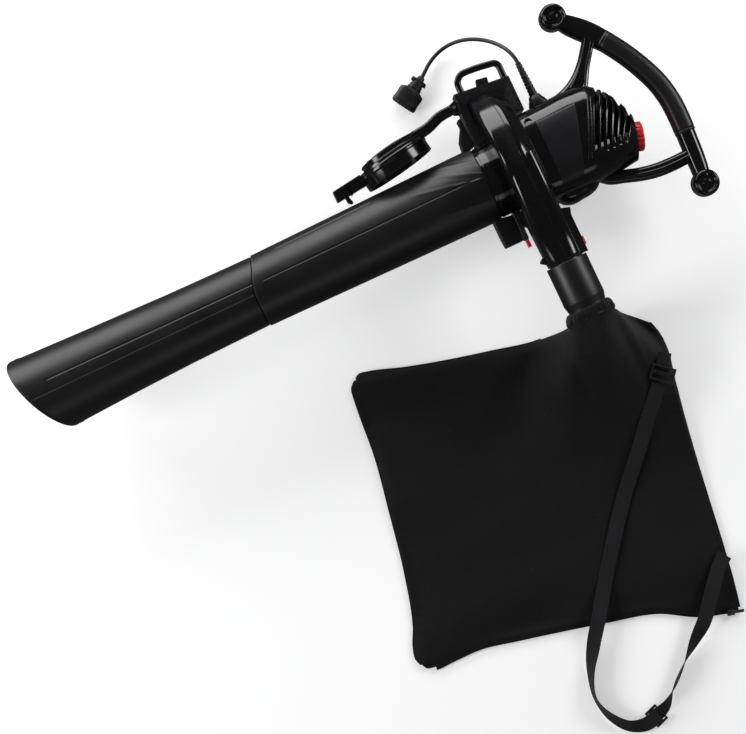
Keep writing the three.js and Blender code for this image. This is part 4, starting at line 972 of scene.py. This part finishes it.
def make_knob(name, x, y):
    """A round end knob: a puck with soft rims, a dished face on both sides, and a raised cap in it."""
    half = [[0, 17.6], [5.2, 17.6], [6.0, 16.9], [6.4, 15.6], [12.0, 15.2], [13.6, 15.8], [14.4, 17.4],
            [15.2, 19.4], [16.6, 20], [18.4, 19.4], [20.4, 16.8], [21.4, 12.5], [21.5, 8], [21.5, 0]]
    half = np.array(half)
    profile = np.concatenate([half, half[::-1][1:] * [1, -1]])
    piece("handle_end_" + name, [lathe(rounded(profile, 1.0, 3, closed=False), 96, (x, y, 0), (0, 0, 1),
                                       closed=False)], "gloss_black", "handle_knob_" + name)


# ---- dial ----
def make_dial():
    """The red speed dial: a disc whose rim is scalloped, radius r - 1.1 * comb(12 * angle), with a
    rounded face edge and a raised pointer bar."""
    profile = np.array([[0, 0], [20, 0], [23, 0.6], [24, 2], [24, 10.4], [23.2, 12.2], [21.4, 13], [18.6, 13],
                        [17.8, 12.4], [16.5, 12.2], [0, 12.2]])
    angle = np.linspace(0, 2 * np.pi, 288, endpoint=False)
    comb = smoothstep(0.1, 0.9, np.cos(18 * angle))
    ridge = smoothstep(20, 23.5, profile[:, 0])[:, None] * comb[None]
    radius = profile[:, :1] - 1.5 * ridge
    c, s = math.cos(DIAL["tilt"]), math.sin(DIAL["tilt"])
    axis, side = np.array([c, -s, 0]), np.array([s, c, 0])
    at = np.array([DIAL["x"], DIAL["y"], 0]) + 1.2 * axis
    out = np.cos(angle)[:, None] * side + np.sin(angle)[:, None] * np.array([0, 0, 1.0])
    points = at + profile[:, 1, None, None] * axis + radius[..., None] * out
    pointer, quads, uv = slab([[-16, -2.2], [-16, 2.2], [17, 1.2], [17, -1.2]], 12, 13.2, 0.5, 0.8)
    pointer = at + pointer[:, 2:] * axis + pointer[:, :1] * side + pointer[:, 1:2] * [0, 0, 1.0]
    piece("speed_knob", [grid(points, wrap_columns=True), (pointer, quads, uv)], "red_plastic", "speed_dial")


# ---- bag ----
BAG_TOP = [[-350, -195], [-338, -188.5], [-326, -191], [-265.5, -211], [-127, -247], [-41, -264.5],
           [-10, -264], [8, -259], [30, -257], [52, -258], [68, -264], [84, -273], [114, -297], [133, -316]]
BAG_BOTTOM = [[-451.5, -666.5], [-445, -677], [-433, -680], [-400, -680], [-351, -681], [-289, -694.5],
              [-144.5, -729.5], [-59, -753], [5, -789], [40, -800], [56, -804.5], [66, -805.5]]
BAG_LEFT = [[-350, -195], [-360, -205], [-362.5, -217], [-366, -246], [-373, -321], [-390.5, -417],
            [-411, -519], [-436, -605], [-452, -640], [-455, -654], [-451.5, -666.5]]
BAG_RIGHT = [[133, -316], [139, -338], [140, -364], [129, -421], [118, -479.4], [108.5, -536.3],
             [97, -613.8], [85, -699.5], [75.5, -758.5], [66, -805.5]]
NECK = 0.765


def side_of(marks, t):
    """The place at t along a curve through marks, by its length."""
    fine = through(marks, 400)
    run = np.concatenate([[0], np.cumsum(np.linalg.norm(np.diff(fine, axis=0), axis=1))])
    return np.stack([np.interp(t * run[-1], run, fine[:, k]) for k in (0, 1)], -1)


def bag_plan(u, v):
    """The bag's place in plan at u across and v down, a Coons patch: its left and right sides blended
    across, plus its top and bottom edges blended down, minus the blend of its four corners."""
    top, bottom = side_of(BAG_TOP, u), side_of(BAG_BOTTOM, u)
    left, right = side_of(BAG_LEFT, v), side_of(BAG_RIGHT, v)
    u, v = u[..., None], v[..., None]
    corners = (np.array(BAG_TOP[0]) * (1 - u) + np.array(BAG_TOP[-1]) * u) * (1 - v)
    corners = corners + (np.array(BAG_BOTTOM[0]) * (1 - u) + np.array(BAG_BOTTOM[-1]) * u) * v
    return left * (1 - u) + right * u + top * (1 - v) + bottom * v - corners


def bag_top(u, v):
    """Height of the upper cloth: a low dome, and a ridge that falls away from the neck, tube-like at the
    neck (its fall-off power 4) and relaxing to a soft one (power 2) down the bag."""
    body = 6 + 10 * np.sqrt(np.maximum(0, np.sin(np.pi * u) * np.sin(np.pi * v)))
    power = 2 + 2 * np.exp(-v * 12)
    ridge = np.exp(-((np.abs(u - NECK) / (0.112 + 0.36 * v)) ** power))
    return body + 209 * ridge * np.exp(-((v / 0.2) ** 1.35))


def bag_bottom(u, v):
    """Height of the lower cloth: on the floor but where it lifts to the neck."""
    ridge = np.exp(-((np.abs(u - NECK) / 0.108) ** 3))
    return 0.4 + 140 * ridge * np.exp(-((v / 0.09) ** 1.3))


def folds(u, v):
    """Slack in the cloth: pleats that fan out from the neck, amplitude falling with distance, four
    narrow Gaussian creases from it, long soft waves across the body, and short puckers at the seams."""
    du, dv = (u - NECK) * 480, v * 480
    far = np.hypot(du, dv + 40)
    turn = np.arctan2(du, dv + 40)
    pleats = np.sin(turn * 11 + 0.6 * np.sin(far / 60)) * np.exp(-far / 150) * 10 * smoothstep(30, 100, far)
    long = 6.0 * np.sin(5.1 * u + 9.3 * v + 1.2 * np.sin(6 * v)) * np.sin(3.7 * u - 6.1 * v)
    long = long + 2.6 * np.sin(13 * u - 5 * v + 2 * np.sin(5 * u + 3 * v)) + 0.7 * np.sin(31 * v + 9 * u * u)
    for place, lean, reach, width in ((-52, 0.10, 110, 6), (-30, -0.12, 150, 9), (24, 0.30, 170, 8),
                                      (58, 0.16, 90, 7)):
        line = (du - place - lean * dv + 4 * np.sin(dv / 23)) / (width + dv * 0.04)
        pleats = pleats - 5.5 * np.exp(-(line**2)) * np.exp(-((dv / reach) ** 2)) * smoothstep(6, 30, dv)
    side = np.exp(-np.minimum(u, 1 - u) * 30) * np.sin(v * 150 + 4 * np.sin(v * 23)) * 0.9
    hem = np.exp(-(1 - v) * 34) * np.sin(u * 170 + 5 * np.sin(u * 19)) * 0.8
    inside = np.minimum(u, 1 - u)
    rim = smoothstep(0, 0.04, np.minimum(inside, np.minimum(v, 1 - v)))
    return pleats * rim + long * rim + (side + hem) * smoothstep(0, 0.012, np.minimum(inside, 1 - v))


def make_bag():
    """The bag: upper and lower cloth from bag_top and bag_bottom with folds, meeting in a rounded edge,
    with its side seams drawn in by a fine wave."""
    u = spread(0, 1, 0.006, (0, 1), 0.03, 0.003)
    u, v = np.meshgrid(u, spread(0, 1, 0.006, (0, 1), 0.03, 0.003), indexing="ij")
    plan = bag_plan(u, v)
    rim = np.minimum(np.minimum(u, 1 - u), np.minimum(v, 1 - v)) * 480
    thin = np.sqrt(np.clip(1 - (1 - np.clip(rim / 7, 0, 1)) ** 2, 0, 1))
    middle = (bag_top(u, v) + bag_bottom(u, v)) / 2
    half = (bag_top(u, v) - bag_bottom(u, v)) / 2 * (0.16 + 0.84 * thin)
    lower = middle - half
    upper = middle + half + folds(u, v) * smoothstep(0.0, 0.5, thin)
    upper = np.maximum(upper, lower + 1.2)
    top = np.concatenate([plan, (FLOOR + upper)[..., None]], -1)
    under = np.concatenate([plan, (FLOOR + np.maximum(lower, 0.3))[..., None]], -1)
    sides = [grid(np.stack([top[0], under[0]])), grid(np.stack([top[-1], under[-1]])),
             grid(np.stack([top[:, 0], under[:, 0]])), grid(np.stack([top[:, -1], under[:, -1]]))]
    bag = piece("collecting_bag", [grid(top), grid(under), *sides], "bag_cloth", "bag", sharp=60)
    return bag


def make_seam():
    """Piping along the sides and top of the bag: a thin tube round its edge."""
    v = np.linspace(0.0, 1.0, 120)
    left = bag_plan(0 * v, v[::-1])
    top = bag_plan(np.linspace(0, 0.62, 90), np.zeros(90))[1:]
    right = bag_plan(0 * v + 1, v)
    for name, line in (("left", left), ("top", top), ("right", right)):
        height = FLOOR + 3.4 + 0.5 * np.sin(np.arange(len(line)) * 0.9)
        path = np.concatenate([line, height[:, None]], 1)
        piece("bag_piping_" + name, [tube(path, 1.9, 10)], "bag_cloth", "bag")


def make_bag_mouth():
    """The bag port tube with its steps, and the gathered neck: ellipses that widen and sink from the
    tube into the bag, their size times 1 + 0.03 * sin of about 29 and 13 times the angle."""
    profile = rounded([[33.7, -167.3], [33.7, -232], [31, -243], [31, -262], [28.6, -262], [28.6, -238],
                       [28.6, -167.3]], [1.2, 2, 2, 0.8, 0.8, 2, 0.8], 3)
    bands = [lathe(rounded([[33.4, y], [34.1, y], [34.1, y - 1.6], [33.4, y - 1.6]], 0.4, 2), 96,
                   (BAG_TUBE_X, 0, DUCT_Z), (0, 1, 0)) for y in (-226, -229.5)]
    piece("bag_port_tube", [lathe(profile, 128, (BAG_TUBE_X, 0, DUCT_Z), (0, 1, 0)), *bands], "matte_black",
          "bag_tube")
    marks = through([[-244.5, 30, 76, 33.9, 33.9], [-246.5, 29.5, 76, 36, 35], [-250, 29, 75.5, 38.5, 35.5],
                     [-255, 28.5, 75, 40, 35], [-260, 28.5, 73, 41, 33], [-266, 29, 70, 38, 28],
                     [-273, 30, 66, 30, 18], [-279, 30, 62, 16, 7]], 90, 1)
    y, x, z, wide, tall = (column[:, None] for column in marks.T)
    angle = np.linspace(0, 2 * np.pi, 360, endpoint=False)[None]
    along = (y + 244.5) / -34.5
    gather = np.sin(29 * angle + 1.7 * np.sin(3 * angle + 4 * along)) * 0.022 * np.exp(-along * 2.5)
    wide_gather = np.sin(13 * angle + 2.1 * np.sin(2 * angle)) * 0.02
    gather = gather + wide_gather * np.sin(np.pi * np.clip(along, 0, 1))
    size = 1 + gather * smoothstep(0.0, 0.06, along)
    c, s = np.cos(angle), np.sin(angle)
    outer = np.stack([x + wide * c * size, y + 1.2 * np.sin(5 * angle) * along, z + tall * s * size], -1)
    piece("bag_cuff_gathered", [grid(capped(outer), wrap_columns=True)], "bag_cloth", "bag_cuff", sharp=60)


# ---- zip ----
def zip_line(count, out):
    """The line of the bag's lower edge, from its lower right corner, so far out from the bag."""
    edge = bag_plan(np.linspace(0.995, 0.05, count), np.ones(count))
    along = unit(np.gradient(edge, axis=0))
    return edge + np.stack([-along[:, 1], along[:, 0]], -1) * np.reshape(out, (-1, 1))


def make_zip():
    """The zip: a tape with a rolled edge along the bag's lower edge, a coil of teeth, its slider and its
    pull."""
    section = rounded([[-3, 3], [9, 3], [9, 5.4], [-3, 5.4]], 1.0, 3)
    plan = np.stack([zip_line(300, x) for x in section[:, 0] - 3], 1)
    height = np.broadcast_to(FLOOR + section[None, :, 1:], (300, len(section), 1))
    tape = grid(capped(np.concatenate([plan, height], -1)), wrap_columns=True)
    phase = np.linspace(0, 210 * 2 * np.pi, 2500)
    height = (FLOOR + 5.5 + 0.3 * np.sin(phase))[:, None]
    coil = np.concatenate([zip_line(2500, 2.6 + 1.1 * np.cos(phase)), height], 1)
    piece("bag_zip_tape", [tape, tube(coil, 0.4, 5)], "bag_cloth", "zip_tape")
    refined("bag_zip_slider", "zip_slider", "zip_metal", 0.5)
    refined("bag_zip_pull", "zip_pull", "zip_metal", 0.5)


# ---- strap ----
def bag_height_at(x, y):
    """The highest cloth within 16 mm of a place on the bag."""
    u, v = np.meshgrid(np.linspace(0, 1, 61), np.linspace(0, 1, 61), indexing="ij")
    plan = bag_plan(u, v)
    near = np.hypot(plan[..., 0] - x, plan[..., 1] - y) < 16
    return float((bag_top(u, v) + folds(u, v))[near].max()) if near.any() else 0.0


def webbing(name, node, marks, count, half_width=12.0, thick=1.6):
    """Webbing along [x, y, height, twist] marks: its width turns about the path by a quarter turn times
    twist, its section is a thin rounded rectangle, and its coordinates run along and across it."""
    path = through(marks, count)
    twist = path[:, 3] * np.pi / 2
    line = path[:, :3] + [0, 0, FLOOR]
    along = unit(np.gradient(line, axis=0))
    level = unit(np.cross([0, 0, 1], along))
    up = np.cross(along, level)
    wide = level * np.cos(twist)[:, None] + up * np.sin(twist)[:, None]
    flat = np.cross(wide, along)
    cross = rounded([[-half_width, -thick / 2], [half_width, -thick / 2], [half_width, thick / 2],
                     [-half_width, thick / 2]], 0.7, 3)
    extra = np.linspace(-half_width + 1, half_width - 1, 12)
    section = np.concatenate([cross[:4], np.stack([extra, 0 * extra - thick / 2], -1), cross[4:12],
                              np.stack([extra[::-1], 0 * extra + thick / 2], -1), cross[12:]])
    points = line[:, None] + section[None, :, :1] * wide[:, None] + section[None, :, 1:] * flat[:, None]
    run = np.concatenate([[0], np.cumsum(np.linalg.norm(np.diff(line, axis=0), axis=1))])
    uv = np.stack(np.broadcast_arrays(run[:, None] / 1000, section[None, :, 0] / 1000), -1)
    mesh = mesh_of(name, [grid(capped(points), wrap_columns=True,
                               uv=np.concatenate([uv[:1], uv, uv[-1:]]))])
    obj = show(name, mesh, "black_webbing", (node,), 50.0)
    return obj


def make_strap():
    """The shoulder strap over the bag and round to its adjuster, the tail back to the bag, and the two
    moulded ladder-locks."""
    run = [[97, -411, 55, 0.0]]
    run += [[x, y, bag_height_at(x, y) + 3, 0.0] for x, y in
            ((60, -452), (20, -500), (-30, -558), (-80, -620), (-125, -680))]
    run += [[-152, -717, 24, 0], [-180, -757, 16, 0.3], [-204, -798, 13, 0.75], [-215, -840, 12.4, 0.9],
            [-203, -880, 12, 0.6], [-181, -906, 9, 0.35], [-157, -914.5, 6.6, 0.1], [-131, -909, 8.6, 0.0]]
    webbing("shoulder_webbing", "shoulder_strap", run, 260)
    tail = [[-142, -911, 4.2, 0.0], [-118, -902, 9, 0.35], [-92, -880, 12.5, 0.9], [-60, -852, 12.6, 0.9],
            [-26, -822, 16, 0.4],
            [2, -797, 24, 0], [26, -768, 26, 0], [48, -742, 24, 0], [66, -724, 21, 0], [79, -714.5, 20.4, 0]]
    webbing("shoulder_webbing_tail", "strap_tail", tail, 140)
    webbing("upper_anchor_webbing", "strap_anchor_upper",
            [[109, -396, 55, 0], [120, -379.5, 55, 0], [127, -369, 54.5, 0]], 40, 11.0, 1.5)
    refined("strap_ladder_lock", "strap_buckle", "matte_black", 1.0)
    refined("strap_adjuster_lock", "strap_adjuster", "matte_black", 1.0)


# ---- studio ----
def lamp(name, place, size, power):
    """A soft box at a place in the frame, turned towards the object."""
    data = bpy.data.lights.new(name, "AREA")
    data.shape, data.size, data.size_y, data.energy = "RECTANGLE", size[0], size[1], power
    obj = bpy.data.objects.new(name, data)
    obj.location = place
    obj.rotation_euler = (Vector((-0.2, -0.2, 0.1)) - Vector(place)).to_track_quat("-Z", "Y").to_euler()
    bpy.context.scene.collection.objects.link(obj)


def make_studio():
    """A plain white table, a dim even room, one long soft box beyond the carry loop and weaker ones
    on the other sides."""
    mesh = bpy.data.meshes.new("table")
    half, low = 9, -0.0005
    corners = [(-half, -half, low), (half, -half, low), (half, half, low), (-half, half, low)]
    mesh.from_pydata(corners, [], [(0, 1, 2, 3)])
    table = bpy.data.objects.new("table", mesh)
    bpy.context.scene.collection.objects.link(table)
    material, _, shader, _ = started("white_paper_sweep")
    shader.inputs["Base Color"].default_value = srgb("#f4f4f4")
    shader.inputs["Roughness"].default_value = 0.9
    shader.inputs["Specular IOR Level"].default_value = 0.1
    shader.inputs["Emission Color"].default_value = (1, 1, 1, 1)
    shader.inputs["Emission Strength"].default_value = 0.35
    mesh.materials.append(material)
    table.visible_glossy = False
    world = bpy.data.worlds.new("studio")
    world.use_nodes = True
    world.node_tree.nodes["Background"].inputs["Color"].default_value = (0.9, 0.92, 0.95, 1)
    world.node_tree.nodes["Background"].inputs["Strength"].default_value = 0.09
    bpy.context.scene.world = world
    bpy.context.scene.view_settings.view_transform = "Standard"
    lamp("soft box beyond the loop", (-0.35, 1.75, 0.5), (3.4, 1.36), 76)
    lamp("soft box at the handle", (2.1, 0.1, 1.35), (1.0, 0.9), 28)
    lamp("soft box at the mouth", (-2.7, 0.2, 1.5), (1.3, 1.1), 40)
    lamp("soft box at the bag", (-0.4, -2.5, 1.6), (2.0, 0.8), 5)


make_camera()
make_cord()
make_studio()
finish_frame()
make_gland()
make_lower_tube()
make_upper_tube()
make_scroll()
make_latches()
make_bracket()
make_cover()
make_motor_shell("motor_housing_near", "motor_shell_near", 1)
make_motor_shell("motor_housing_far", "motor_shell_far", -1)
make_panel()
make_screws()
make_handle()
make_dial()
make_bag()
make_seam()
make_bag_mouth()
make_zip()
make_strap()
